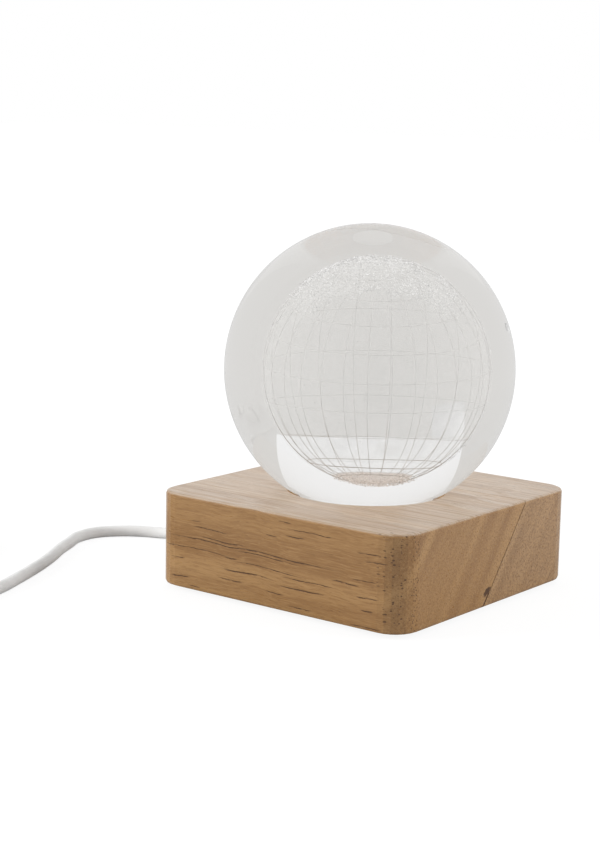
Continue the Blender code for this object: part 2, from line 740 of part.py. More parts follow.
def make_light(root):
    diffuser = eased_disc(
        "diffuser",
        SEAT_RADIUS - TOUCH_GAP,
        DIFFUSER_BOTTOM_Z,
        DIFFUSER_TOP_Z,
        DIFFUSER_EDGE_EASE,
        DISC_SEGMENTS,
    )
    add("diffuser", diffuser, "frosted_plastic", root)
    outer = CHAMBER_RADIUS - TOUCH_GAP
    low, high = BOARD_TOP_Z + TOUCH_GAP, DIFFUSER_BOTTOM_Z - TOUCH_GAP
    reflector = turned(
        "reflector",
        [
            (outer, low),
            (outer, high),
            (outer - REFLECTOR_WALL, high),
            (outer - REFLECTOR_WALL - REFLECTOR_TAPER, low),
        ],
        DISC_SEGMENTS,
        closed=True,
    )
    add("reflector", reflector, "white_plastic", root)
    board = add(
        "led_board",
        cylinder("led_board", BOARD_RADIUS, BOARD_BOTTOM_Z, BOARD_TOP_Z, DISC_SEGMENTS),
        "board_white",
        root,
    )
    hole_radius = SCREW_SHANK_RADIUS + TOUCH_GAP
    hole = cylinder("board_hole", hole_radius, BOARD_BOTTOM_Z - OVERRUN, BOARD_TOP_Z + OVERRUN)
    screw = screw_mesh(
        "board_screw", SCREW_SHANK_RADIUS, SCREW_HEAD_RADIUS, BOARD_SCREW_LENGTH, sunk=False
    )
    head_z = BOARD_BOTTOM_Z - TOUCH_GAP - SCREW_HEAD_HEIGHT
    for i, (x, y, _) in enumerate(around(BOARD_SCREW_COUNT, BOARD_SCREW_CIRCLE, pi / 2), 1):
        boolean(board, helper(f"board_hole_{i}", hole, root, (x, y, 0)))
        add(f"board_screw_{i}", screw, "steel", root, (x, y, head_z))
    led = led_mesh()
    for i, (x, y, angle) in enumerate(around(LED_COUNT, LED_CIRCLE_RADIUS), 1):
        add(f"led_{i}", led, "led_package", root, (x, y, BOARD_TOP_Z + TOUCH_GAP), (0, 0, angle))
    resistor = box(
        "resistor", RESISTOR_WIDTH, RESISTOR_LENGTH, -RESISTOR_HEIGHT, 0, RESISTOR_HEIGHT / 6
    )
    add("resistor", resistor, "resistor_body", root, (RESISTOR_OFFSET, 0, BOARD_BOTTOM_Z - TOUCH_GAP))


def led_mesh():
    """A square package with a sunk square window on top."""
    bm = bmesh.new()
    half = LED_SIDE / 2
    corners = [(-half, -half), (half, -half), (half, half), (-half, half)]
    floor = bm.faces.new([bm.verts.new((x, y, 0)) for x, y in corners])
    raised = bmesh.ops.extrude_face_region(bm, geom=[floor])["geom"]
    bmesh.ops.translate(
        bm, verts=[v for v in raised if isinstance(v, bmesh.types.BMVert)], vec=(0, 0, LED_HEIGHT)
    )
    top = max(bm.faces, key=lambda face: face.calc_center_median().z)
    bmesh.ops.inset_region(bm, faces=[top], thickness=LED_WINDOW_INSET)
    sunk = bmesh.ops.extrude_face_region(bm, geom=[top])["geom"]
    bmesh.ops.delete(bm, geom=[top], context="FACES")
    bmesh.ops.translate(
        bm,
        verts=[v for v in sunk if isinstance(v, bmesh.types.BMVert)],
        vec=(0, 0, -LED_WINDOW_DEPTH),
    )
    return finished(bm, "led")


def make_cover(root):
    radius = REBATE_RADIUS - TOUCH_GAP
    cover = add(
        "bottom_cover",
        eased_disc("bottom_cover", radius, COVER_BOTTOM_Z, COVER_TOP_Z, COVER_EDGE_EASE, DISC_SEGMENTS),
        "dark_plastic",
        root,
    )
    screw = screw_mesh(
        "cover_screw", SCREW_SHANK_RADIUS, SCREW_HEAD_RADIUS, COVER_SCREW_LENGTH, sunk=True
    )
    head_radius = SCREW_HEAD_RADIUS + TOUCH_GAP
    hole_radius = SCREW_SHANK_RADIUS + TOUCH_GAP
    sink = turned(
        "cover_sink",
        [
            (0, -OVERRUN),
            (head_radius, -OVERRUN),
            (head_radius, SCREW_HEAD_HEIGHT / 6),
            (hole_radius, SCREW_HEAD_HEIGHT + TOUCH_GAP / 2),
            (hole_radius, COVER_THICKNESS + OVERRUN),
            (0, COVER_THICKNESS + OVERRUN),
        ],
        SCREW_SEGMENTS,
    )
    for i, (x, y, _) in enumerate(around(COVER_SCREW_COUNT, COVER_SCREW_CIRCLE, pi / 4), 1):
        boolean(cover, helper(f"cover_sink_{i}", sink, root, (x, y, COVER_BOTTOM_Z)))
        add(f"cover_screw_{i}", screw, "steel", root, (x, y, COVER_BOTTOM_Z))


def grooved(start, end, start_radius, end_radius, grooves, depth):
    """Profile points from start to end along a taper, with square grooves cut round it."""
    cells = 2 * grooves + 1
    points = []
    for i in range(cells):
        sink = depth if i % 2 else 0
        for share in (i / cells, (i + 1) / cells):
            radius = start_radius + (end_radius - start_radius) * share
            points.append((radius - sink, start + (end - start) * share))
    return points


def make_relief(root):
    """The tapered strain relief: a stem in the wall, a flange on it and a grooved boot."""
    stem_length = RELIEF_INNER_X - CORD_FACE_X
    seat = -TOUCH_GAP
    boot_radius = CORD_RADIUS + RELIEF_BOOT_WALL
    tip_radius = CORD_RADIUS + RELIEF_TIP_WALL
    flange = -TOUCH_GAP - RELIEF_FLANGE_THICKNESS
    profile = [(0, stem_length), (RELIEF_STEM_RADIUS, stem_length), (RELIEF_STEM_RADIUS, seat)]
    profile += [(RELIEF_FLANGE_RADIUS, seat)]
    profile += [(RELIEF_FLANGE_RADIUS, flange + RELIEF_FLANGE_THICKNESS / 3)]
    profile += [(RELIEF_FLANGE_RADIUS - RELIEF_FLANGE_THICKNESS / 3, flange)]
    profile += grooved(
        flange, flange - RELIEF_BOOT_LENGTH, boot_radius, tip_radius, RELIEF_GROOVES, RELIEF_GROOVE_DEPTH
    )
    profile += [(0, flange - RELIEF_BOOT_LENGTH)]
    mesh = turned("strain_relief", profile, ROUND_SEGMENTS)
    add("strain_relief", mesh, "cord_white", root, (CORD_FACE_X, 0, CORD_EXIT_Z), (0, pi / 2, 0))


def make_inner_lead(root):
    """The lead's end inside the base, its tie and the two wires up to the board."""
    start = Vector((RELIEF_INNER_X + TOUCH_GAP, 0, CORD_EXIT_Z))
    end = Vector((INNER_CORD_END_X, 0, CORD_EXIT_Z))
    tube("cord_inner_end", [start, start.lerp(end, 1 / 2), end], CORD_RADIUS, "cord_white").parent = root
    inner = CORD_RADIUS + TOUCH_GAP
    outer = inner + INNER_TIE_THICKNESS
    half = INNER_TIE_WIDTH / 2
    band = turned(
        "inner_tie",
        [(inner, -half), (outer, -half), (outer, half), (inner, half)],
        ROUND_SEGMENTS,
        closed=True,
    )
    place = (INNER_CORD_END_X - INNER_TIE_SETBACK, 0, CORD_EXIT_Z)
    tie = add("inner_tie", band, "white_plastic", root, place, (0, pi / 2, 0))
    head = box("inner_tie_head", INNER_TIE_HEAD, INNER_TIE_HEAD, -half, half)
    offset = (inner + outer) / 2 + INNER_TIE_HEAD / 2
    joined = helper("inner_tie_head", head, root, (place[0], offset, place[2]), (0, pi / 2, 0))
    boolean(tie, joined, "UNION")
    for name, side, look in (("wire_positive", 1, "red_wire"), ("wire_negative", -1, "black_wire")):
        make_wire(name, side, look, root)


def make_wire(name, side, look, root):
    x = INNER_CORD_END_X + TOUCH_GAP
    top = BOARD_BOTTOM_Z - TOUCH_GAP
    near, far = side * WIRE_SPACING / 2, side * SOLDER_SPACING / 2
    reach = x + SOLDER_DISTANCE
    bend = 3 * WIRE_RADIUS
    low = CORD_EXIT_Z
    points = [
        (x, near, low),
        (x + bend, near, low),
        (x + SOLDER_DISTANCE / 2, (near + far) / 2, low - WIRE_RADIUS / 2),
        (reach - bend, far, low),
        (reach - bend / 4, far, low + (top - low) / 3),
        (reach, far, top),
    ]
    tube(name, spaced(smooth_curve(points), bend), WIRE_RADIUS, look).parent = root


def switch_outline(shrink=0.0):
    """The switch from above: full width between its shoulders, narrow at both ends."""
    length, shoulder = SWITCH_LENGTH / 2, SWITCH_SHOULDER_LENGTH / 2
    width, narrow = SWITCH_WIDTH / 2 - shrink, SWITCH_END_WIDTH / 2 - shrink
    quarter = [(length, narrow), (shoulder, width)]
    outline = quarter + [(-x, y) for x, y in quarter[::-1]]
    return outline + [(x, -y) for x, y in outline[::-1]]


def round_uprights(mesh, radius, steps=3):
    bm = bmesh.new()
    bm.from_mesh(mesh)
    uprights = [
        edge
        for edge in bm.edges
        if (edge.verts[0].co.xy - edge.verts[1].co.xy).length < MERGE_DISTANCE
    ]
    bmesh.ops.bevel(bm, geom=uprights, offset=radius, segments=steps, affect="EDGES", profile=0.5)
    bmesh.ops.recalc_face_normals(bm, faces=bm.faces)
    bm.to_mesh(mesh)
    bm.free()


def switch_half(name, low, high, ease_low):
    mesh = prism(name, switch_outline(), low, high)
    round_uprights(mesh, SWITCH_CORNER_RADIUS)
    bm = bmesh.new()
    bm.from_mesh(mesh)
    ease_rims(bm, low if ease_low else None, None if ease_low else high, SWITCH_EDGE_EASE, 2)
    bmesh.ops.recalc_face_normals(bm, faces=bm.faces)
    bm.to_mesh(mesh)
    bm.free()
    return mesh


def make_switch(root):
    holder = empty("switch_place", (*SWITCH_PLACE, 0), pi, root)
    split = TOUCH_GAP / 2
    lower_mesh = switch_half("switch_lower_housing", 0, SWITCH_PARTING_Z - split, True)
    upper_mesh = switch_half("switch_upper_housing", SWITCH_PARTING_Z + split, SWITCH_HEIGHT, False)
    lower = add("switch_lower_housing", lower_mesh, "cord_white", holder)
    upper = add("switch_upper_housing", upper_mesh, "cord_white", holder)
    inside = SWITCH_WIDTH - 2 * SWITCH_WALL
    cavity_mesh = box("switch_cavity", SWITCH_CAVITY_LENGTH, inside, SWITCH_WALL, SWITCH_CEILING_Z)
    channel_mesh = cylinder(
        "switch_channel",
        CORD_RADIUS + TOUCH_GAP,
        -SWITCH_LENGTH / 2 - OVERRUN,
        SWITCH_LENGTH / 2 + OVERRUN,
        ROUND_SEGMENTS,
    )
    axis_place = (0, 0, SWITCH_AXIS_HEIGHT)
    channel = helper("switch_channel", channel_mesh, holder, axis_place, (0, pi / 2, 0))
    cavity = helper("switch_cavity", cavity_mesh, holder)
    for half in (lower, upper):
        boolean(half, cavity)
        boolean(half, channel)
    make_rocker(holder, upper)
    make_switch_screws(holder, lower, upper)
    make_contacts(holder)


def make_rocker(holder, upper):
    """The rocker stands at its off limit, turned about its pins."""
    pivot = (0, 0, ROCKER_PIVOT_Z)
    window_mesh = box(
        "rocker_window",
        2 * (ROCKER_RADIUS + TOUCH_GAP),
        ROCKER_WIDTH + 2 * TOUCH_GAP,
        SWITCH_CEILING_Z - OVERRUN,
        SWITCH_HEIGHT + OVERRUN,
    )
    boolean(upper, helper("rocker_window", window_mesh, holder))
    reach = ROCKER_WIDTH / 2 + ROCKER_PIN_LENGTH
    socket_reach = reach + TOUCH_GAP
    socket_mesh = cylinder(
        "rocker_socket", ROCKER_PIN_RADIUS + TOUCH_GAP, -socket_reach, socket_reach
    )
    boolean(upper, helper("rocker_socket", socket_mesh, holder, pivot, (pi / 2, 0, 0)))
    crest = ROCKER_PIVOT_DEPTH + ROCKER_CREST
    top_angle = asin(crest / ROCKER_RADIUS)
    low_angle = asin(-ROCKER_DROP / ROCKER_RADIUS)
    right = arc((0, 0), ROCKER_RADIUS, low_angle, top_angle, CORNER_STEPS)
    profile = right + [(0, ROCKER_PIVOT_DEPTH)] + [(-x, z) for x, z in right[::-1]]
    sections = [
        [(x, y, z) for x, z in profile] for y in (-ROCKER_WIDTH / 2, ROCKER_WIDTH / 2)
    ]
    turn = (0, ROCKER_TILT, 0)
    rocker = add("switch_rocker", loft("switch_rocker", sections), "white_plastic", holder, pivot, turn)
    pins_mesh = cylinder("rocker_pins", ROCKER_PIN_RADIUS, -reach, reach)
    boolean(rocker, helper("rocker_pins", pins_mesh, rocker, turn=(pi / 2, 0, 0)), "UNION")


def make_switch_screws(holder, lower, upper):
    screw = screw_mesh(
        "switch_screw",
        SWITCH_SCREW_SHANK_RADIUS,
        SWITCH_SCREW_HEAD_RADIUS,
        SWITCH_SCREW_LENGTH,
        sunk=False,
    )
    head_radius = SWITCH_SCREW_HEAD_RADIUS + TOUCH_GAP
    hole_radius = SWITCH_SCREW_SHANK_RADIUS + TOUCH_GAP
    top = TOUCH_GAP + SWITCH_SCREW_LENGTH + TOUCH_GAP
    head_top = TOUCH_GAP + SCREW_HEAD_HEIGHT + TOUCH_GAP
    hole_mesh = turned(
        "switch_screw_hole",
        [
            (0, -OVERRUN),
            (head_radius, -OVERRUN),
            (head_radius, head_top),
            (hole_radius, head_top),
            (hole_radius, top),
            (0, top),
        ],
        SCREW_SEGMENTS,
    )
    for i, side in enumerate((1, -1), 1):
        place = (side * SWITCH_SCREW_X, side * SWITCH_SCREW_Y, 0)
        hole = helper(f"switch_screw_hole_{i}", hole_mesh, holder, place)
        boolean(lower, hole)
        boolean(upper, hole)
        add(f"switch_screw_{i}", screw, "steel", holder, (place[0], place[1], TOUCH_GAP))


def make_contacts(holder):
    """Two terminals on the switch's floor and the strip that joins them."""
    inside = SWITCH_CAVITY_LENGTH / 2 - TOUCH_GAP
    terminal_x = inside - TERMINAL_LENGTH / 2
    low = SWITCH_WALL + TOUCH_GAP
    high = low + TERMINAL_HEIGHT
    ease = CONTACT_THICKNESS / 4
    terminal = box("switch_terminal", TERMINAL_LENGTH, TERMINAL_WIDTH, low, high, ease)
    for i, side in enumerate((1, -1), 1):
        add(f"switch_terminal_{i}", terminal, "brass", holder, (side * terminal_x, 0, 0))
    strip_low = high + TOUCH_GAP
    strip = box(
        "switch_contact", 2 * terminal_x, CONTACT_WIDTH, strip_low, strip_low + CONTACT_THICKNESS, ease
    )
    add("switch_contact", strip, "brass", holder)


def cross_section(x, half_width, half_height, radius, steps=3):
    outline = rounded_rectangle(2 * half_width, 2 * half_height, radius, steps)
    return [(x, y, z) for y, z in outline]


def make_plug(root):
    """The plug points along +Y. Its own X is its axis, from the cord's end to its tip."""
    place = (COIL_START_X, PLUG_BACK_Y, PLUG_AXIS_Z)
    holder = empty("plug_place", place, pi / 2, root)
    rear = CORD_RADIUS + PLUG_RELIEF_WALL
    front = rear + PLUG_RELIEF_FLARE
    side_share = 1.001
    sections = [
        cross_section(x, side_share * radius, side_share * radius, radius)
        for radius, x in grooved(
            0, PLUG_RELIEF_LENGTH, rear, front, PLUG_RELIEF_GROOVES, PLUG_RELIEF_WALL / 2
        )
    ]
    wide, tall = PLUG_BODY_WIDTH / 2, PLUG_BODY_HEIGHT / 2
    end = PLUG_RELIEF_LENGTH + PLUG_BODY_LENGTH
    body_shares = ((0.06, 0.70, 0.80), (0.18, 0.94, 0.97), (0.30, 1.0, 1.0), (0.62, 1.0, 1.0))
    for length_share, width_share, height_share in body_shares:
        x = PLUG_RELIEF_LENGTH + PLUG_BODY_LENGTH * length_share
        sections.append(
            cross_section(x, wide * width_share, tall * height_share, PLUG_BODY_CORNER)
        )
    sections.append(cross_section(end - PLUG_BODY_NOSE, wide, tall, PLUG_BODY_CORNER))
    sections.append(
        cross_section(end, wide - PLUG_BODY_NOSE, tall - PLUG_BODY_NOSE, PLUG_BODY_CORNER - PLUG_BODY_NOSE)
    )
    add("plug_body", loft("plug_body", sections), "cord_white", holder)
    make_plug_shell(holder, end + TOUCH_GAP)


def make_plug_shell(holder, start):
    outer = rounded_rectangle(PLUG_SHELL_WIDTH, PLUG_SHELL_HEIGHT, PLUG_SHELL_CORNER, 3)
    inner_width = PLUG_SHELL_WIDTH - 2 * PLUG_SHELL_WALL
    inner_height = PLUG_SHELL_HEIGHT - 2 * PLUG_SHELL_WALL
    inner = rounded_rectangle(inner_width, inner_height, PLUG_SHELL_CORNER - PLUG_SHELL_WALL, 3)
    end = start + PLUG_SHELL_LENGTH
    shell = add("plug_shell", sleeve("plug_shell", outer, inner, start, end), "steel", holder)
    window_mesh = box(
        "plug_window",
        PLUG_WINDOW_LENGTH,
        PLUG_WINDOW_WIDTH,
        -PLUG_SHELL_HEIGHT / 2 - OVERRUN,
        PLUG_SHELL_HEIGHT / 2 + OVERRUN,
    )
    for i, side in enumerate((1, -1), 1):
        place = (end - PLUG_WINDOW_SETBACK, side * PLUG_WINDOW_SPACING / 2, 0)
        boolean(shell, helper(f"plug_window_{i}", window_mesh, holder, place))
    high = inner_height / 2 - TOUCH_GAP
    low = high - TONGUE_THICKNESS
    length = PLUG_SHELL_LENGTH - TONGUE_SETBACK
    tongue = box("plug_tongue", length, inner_width - 2 * TOUCH_GAP, low, high, PIN_THICKNESS)
    middle = start + length / 2
    add("plug_tongue", tongue, "dark_plastic", holder, (middle, 0, 0))
    top = low - TOUCH_GAP
    pin = box("plug_contact", PIN_LENGTH, PIN_WIDTH, top - PIN_THICKNESS, top, PIN_THICKNESS / 4)
    for i in range(PIN_COUNT):
        y = (i - (PIN_COUNT - 1) / 2) * PIN_SPACING
        add(f"plug_contact_{i + 1}", pin, "gold_plate", holder, (middle, y, 0))


def coil_point(turns):
    """The coil's centreline: in on the lower layer, up in half a turn, and out again."""
    past = turns - COIL_INWARD_TURNS
    if past < 0:
        radius, climbed = COIL_OUTER_RADIUS - COIL_PITCH * turns, 0.0
    elif past < COIL_REVERSAL_TURNS:
        share = past / COIL_REVERSAL_TURNS
        dip = COIL_PITCH * COIL_REVERSAL_TURNS * share * (1 - share)
        radius = COIL_OUTER_RADIUS - COIL_PITCH * COIL_INWARD_TURNS - dip
        climbed = share * share * (3 - 2 * share)
    else:
        outward = past - COIL_REVERSAL_TURNS
        radius = COIL_OUTER_RADIUS - COIL_PITCH * (COIL_INWARD_TURNS - outward)
        climbed = 1.0
    angle = pi - 2 * pi * turns
    height = COIL_LOW_Z + (COIL_HIGH_Z - COIL_LOW_Z) * climbed
    return Vector(
        (COIL_CENTRE[0] + radius * cos(angle), COIL_CENTRE[1] + radius * sin(angle), height)
    )


def coil_points():
    count = 2 * COIL_TURNS_IN_LAYER * COIL_POINTS_IN_TURN
    wound = [coil_point(i / COIL_POINTS_IN_TURN) for i in range(count + 1)]
    straight = Vector((0, 2 * CORD_RADIUS, 0))
    return [wound[0] - straight, *wound, wound[-1] + straight]


def nearest_on(point, a, b):
    """The distance from a point to the stretch between a and b."""
    along = b - a
    share = max(0.0, min(1.0, (point - a).dot(along) / along.length_squared))
    return (point - a.lerp(b, share)).length


def least_gap(points):
    """The least distance between the coil's surface and another turn of its own."""
    apart = COIL_POINTS_IN_TURN // 3
    nearest = min(
        nearest_on(point, points[j], points[j + 1])
        for i, point in enumerate(points)
        for j in range(i + apart, len(points) - 1)
    )
    return nearest - 2 * CORD_RADIUS


def make_cord(root):
    """The free lead: base to switch, switch to coil, the coil, and coil to plug."""
    coil = coil_points()
    exit_point = Vector((RELIEF_TIP_X - TOUCH_GAP, 0, CORD_EXIT_Z))
    switch = Vector((*SWITCH_PLACE, SWITCH_AXIS_HEIGHT))
    grip = Vector((SWITCH_LENGTH / 2 - SWITCH_CORD_GRIP, 0, 0))
    entry = Vector((SWITCH_LENGTH / 2, 0, 0))
    ahead = Vector((0, 2 * CORD_RADIUS, 0))
    touch = Vector((0, TOUCH_GAP, 0))
    plug = Vector((COIL_START_X, PLUG_BACK_Y, PLUG_AXIS_Z)) - touch
    start, end = coil[0] - touch, coil[-1] + touch
    drop = [(COIL_START_X, y, z) for y, z in TAIL_ROUTE]
    routes = {
        "cord_lead": [exit_point, exit_point - entry.normalized() * 2 * CORD_RADIUS, *LEAD_ROUTE],
        "cord_run": [switch - grip, switch - entry, *RUN_ROUTE, start - ahead, start],
        "cord_tail": [end, end + ahead, *drop, plug - ahead, plug],
    }
    routes["cord_lead"] += [switch + entry, switch + grip]
    total = length_of(coil)
    for name, route in routes.items():
        points = laid(route)
        tube(name, points, CORD_RADIUS, "cord_white").parent = root
        total += length_of(points)
        print(name, "is", round(length_of(points), 4), "m long")
    tube("cord_coil", coil, CORD_RADIUS, "cord_white", COIL_RESOLUTION).parent = root
    print("cord_coil is", round(length_of(coil), 4), "m long")
    print("cord_coil least gap to itself is", round(least_gap(coil), 6), "m")
    print("the whole free lead is", round(total, 3), "m long")


def make_coil_tie(root):
    """A flat strap round the coil's turns on its +X side, with a loose tab outside."""
    half = COIL_TIE_WIDTH / 2
    bulge = half**2 / (2 * COIL_INNER_RADIUS)
    inner_low = COIL_INNER_RADIUS - CORD_RADIUS - TOUCH_GAP - bulge
    inner_high = COIL_OUTER_RADIUS + CORD_RADIUS + TOUCH_GAP
    low_z = COIL_TIE_THICKNESS
    high_z = COIL_HIGH_Z + CORD_RADIUS + TOUCH_GAP
    width, height = inner_high - inner_low, high_z - low_z
    thick = COIL_TIE_THICKNESS
    outer = rounded_rectangle(width + 2 * thick, height + 2 * thick, COIL_TIE_CORNER)
    inner = rounded_rectangle(width, height, COIL_TIE_CORNER - thick)
    mesh = sleeve("coil_tie", outer, inner, -half, half)
    middle = COIL_CENTRE[0] + (inner_low + inner_high) / 2
    place = (middle, COIL_CENTRE[1], (low_z + high_z) / 2)
    tie = add("coil_tie", mesh, "dark_plastic", root, place, (0, 0, pi / 2))
    tab = box("coil_tie_tab", COIL_TIE_WIDTH, COIL_TIE_TAB + thick, -thick / 2, thick / 2)
    tab_place = (0, -(width + COIL_TIE_TAB + thick) / 2, -height / 4)
    boolean(tie, helper("coil_tie_tab", tab, tie, tab_place), "UNION")


def main():
    clear_scene()
    root = empty("lamp")
    make_base(root)
    make_feet(root)
    make_ball(root)
    make_light(root)
    make_cover(root)
    make_relief(root)
    make_inner_lead(root)
    make_switch(root)
    make_plug(root)
    make_cord(root)
    make_coil_tie(root)


main()
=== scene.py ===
"""The looks of the crystal ball lamp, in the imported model's frame: metres, +Z up, +X along the grain."""

from math import asin, cos, degrees, pi, radians, sin, sqrt
from random import Random

import bmesh
import bpy
from mathutils import Matrix, Vector


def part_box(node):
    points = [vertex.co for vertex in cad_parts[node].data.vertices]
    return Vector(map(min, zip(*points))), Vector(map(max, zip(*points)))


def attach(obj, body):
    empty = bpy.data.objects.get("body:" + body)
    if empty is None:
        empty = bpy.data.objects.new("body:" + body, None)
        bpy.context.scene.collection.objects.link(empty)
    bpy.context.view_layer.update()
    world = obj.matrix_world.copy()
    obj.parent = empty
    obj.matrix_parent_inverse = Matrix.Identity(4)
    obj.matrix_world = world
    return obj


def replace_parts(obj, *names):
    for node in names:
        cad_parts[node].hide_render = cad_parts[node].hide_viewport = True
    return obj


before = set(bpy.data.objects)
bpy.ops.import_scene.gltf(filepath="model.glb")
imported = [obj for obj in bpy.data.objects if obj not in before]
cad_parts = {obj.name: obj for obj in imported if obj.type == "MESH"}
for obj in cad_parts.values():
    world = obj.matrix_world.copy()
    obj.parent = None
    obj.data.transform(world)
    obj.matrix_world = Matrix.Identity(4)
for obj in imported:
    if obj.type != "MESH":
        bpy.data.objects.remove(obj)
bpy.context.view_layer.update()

# The camera, fitted to the photograph's edges
IMAGE_HEIGHT_PIXELS = 860
FOCAL_PIXELS = 1885.88
SENSOR_MM = 36
CAMERA_AZIMUTH = radians(37.789)
CAMERA_ELEVATION = radians(10.396)
CAMERA_ROLL = radians(1.149)
CAMERA_DISTANCE = 0.53661
CAMERA_TARGET = (-0.02374, 0.0, 0.04062)
NEAREST_SEEN = 0.01

# The lead: the same route as the model's, and its real lengths
TOUCH_GAP = 0.0003
CORD_RADIUS = 0.0017
CORD_POINT_SPACING = 2 * CORD_RADIUS * 0.6
RELIEF_TIP = (-0.0570, 0.0, 0.0065)
SWITCH_PLACE = (-0.1180, -0.1036, 0.0044)
SWITCH_HALF = 0.020
SWITCH_CAVITY_HALF = 0.009
PLUG_BACK = (-0.0425, 0.0040)
COIL_CENTRE = (-0.1270, -0.0650)
COIL_MIDDLE_DIAMETER = 0.0391
COIL_TURNS_IN_LAYER = 4
COIL_TURN_GAP = 0.0006
TIE_THICKNESS = 0.0005
TIE_SHOWN_SHARE = 0.9
TIE_WIDTH = 0.006
TIE_CORNER = 0.0010
TIE_CORNER_STEPS = 6
TIE_WIDTH_STEPS = 8
TIE_TAB_LENGTH = 0.0048
TIE_TAB_DROOP = 0.02
TIE_TAB_STEPS = 4
COIL_POINTS_IN_TURN = 48
LEAD_ROUTE = (
    (-0.065, 0.0001, 0.00535), (-0.0692, 0.0004, 0.0035), (-0.0735, 0.0006, 0.00215),
    (-0.078, 0, 0.00175), (-0.0826, -0.002, 0.00175), (-0.0882, -0.0064, 0.00175),
    (-0.092, -0.0128, 0.00175), (-0.0918, -0.0206, 0.00175), (-0.0885, -0.0275, 0.00175),
    (-0.0852, -0.0345, 0.00175), (-0.0804, -0.043, 0.00175), (-0.0762, -0.0515, 0.00175),
    (-0.0708, -0.0645, 0.00175), (-0.0668, -0.0755, 0.00175), (-0.0655, -0.0846, 0.00175),
    (-0.0684, -0.0933, 0.00175), (-0.0752, -0.0998, 0.00182), (-0.084, -0.1028, 0.00258),
    (-0.0915, -0.1036, 0.0038),
)
RUN_ROUTE = (
    (-0.1448, -0.1024, 0.00412), (-0.1499, -0.0982, 0.0035), (-0.1529, -0.092, 0.00292),
    (-0.1541, -0.085, 0.00258), (-0.1543, -0.077, 0.0025),
)
TAIL_ROUTE = (
    (-0.056, 0.00605), (-0.0516, 0.00445),
)
COIL_PITCH = 2 * CORD_RADIUS + COIL_TURN_GAP
COIL_REVERSAL_TURNS = 0.5
COIL_INWARD_TURNS = COIL_TURNS_IN_LAYER - COIL_REVERSAL_TURNS / 2
COIL_RADIAL_REACH = COIL_PITCH * (COIL_INWARD_TURNS + COIL_REVERSAL_TURNS / 4)
COIL_OUTER_RADIUS = (COIL_MIDDLE_DIAMETER + COIL_RADIAL_REACH) / 2
COIL_INNER_RADIUS = COIL_OUTER_RADIUS - COIL_RADIAL_REACH
COIL_LOW_Z = TIE_THICKNESS + TOUCH_GAP + CORD_RADIUS
COIL_HIGH_Z = COIL_LOW_Z + COIL_PITCH
COIL_START_X = COIL_CENTRE[0] - COIL_OUTER_RADIUS

# The two insulated wires inside the base
WIRE_RADIUS = 0.00055
WIRE_POINT_SPACING = 0.0005
WIRE_FROM_AXIS = 0.0008
WIRE_STRAIGHT = 0.0016
WIRE_LEAN = 0.0004

# The glass ball and the globe engraved in it, which stands a little off the ball's centre
BALL_RADIUS = 0.040
GLASS_IOR = 1.517
BALL_SEGMENTS = 192
BALL_RINGS = 96
GLOBE_RADIUS = 0.0206
GLOBE_SIDE_SHIFT = 0.00135
GLOBE_DROP = 0.0003
GLOBE_TURN = radians(121)
MERIDIAN_DEGREES = 15
PARALLEL_DEGREES = 18
MERIDIAN_LINE_RADIUS = 0.000042
PARALLEL_LINE_RADIUS = 0.000034
SOUTH_RING_LATITUDE = -50
SOUTH_RING_SCALE = 1.8
GRID_LINE_POINTS = 96
POLAR_CAP_LATITUDE = 71
PALE_LINE = ((0.50, 0.49, 0.48), (0.64, 0.63, 0.62))
# Painted light: low on the globe the lines are painted darker and brown, as shade and the wood's light from
# below
BROWN_LINE = ((0.33, 0.285, 0.245), (0.46, 0.41, 0.37))
# Painted light: the south polar sheet is painted dim and brown, as shade and the wood's light from below
POLAR_SHEET_PAINTED_TONE = (0.54, 0.485, 0.44)
POLAR_SHEET_PAINTED_GLOW = (0.70, 0.63, 0.58)
POLAR_SHEET_SHARE = 0.8
FLAKE_SEED = 11
FLAKE_COUNT = 90000
FLAKE_SCATTER_DEGREES = 0.5
FLAKE_SIZE = 0.00024
FLAKE_DEPTH = 0.0008
# Painted light: the engraved cracks glow, though they are no lamp
CRACK_PAINTED_GLOW = 0.14
DULL_CRACK = (0.26, 0.26, 0.26)
BRIGHT_CRACK = (0.88, 0.88, 0.89)
# Painted light: the haze glows strongly, in a warm tint, though it is no lamp
VEIL_PAINTED_GLOW = 0.50
PAINTED_GLOW_TINT = (1.0, 0.985, 0.96)
DULL_HAZE = (0.13, 0.128, 0.122)
BRIGHT_HAZE = (0.22, 0.217, 0.21)
SEA_HAZE = (0.16, 0.28)
LAND_HAZE = 0.18
FROST_LATITUDES = (32, 52)
LOW_LAND_SHARE = 0.03
VEIL_DEGREES = 2
VEIL_HALF_DEPTH = 0.0003
OUTER_VEIL_FROM = -56
LOW_HAZE_SHARE = 0.6
FROST_SPREAD_DEGREES = 3
ICE_LATITUDE = 70
SAME_POINT = 0.000001
# Heights between which the polar sheet and the brown lines begin, and the low haze ends
POLAR_SHEET_MM = (41.5, 41.1)
BROWN_LINE_MM = (54.0, 46.0)
LOW_HAZE_MM = (47.0, 62.0)

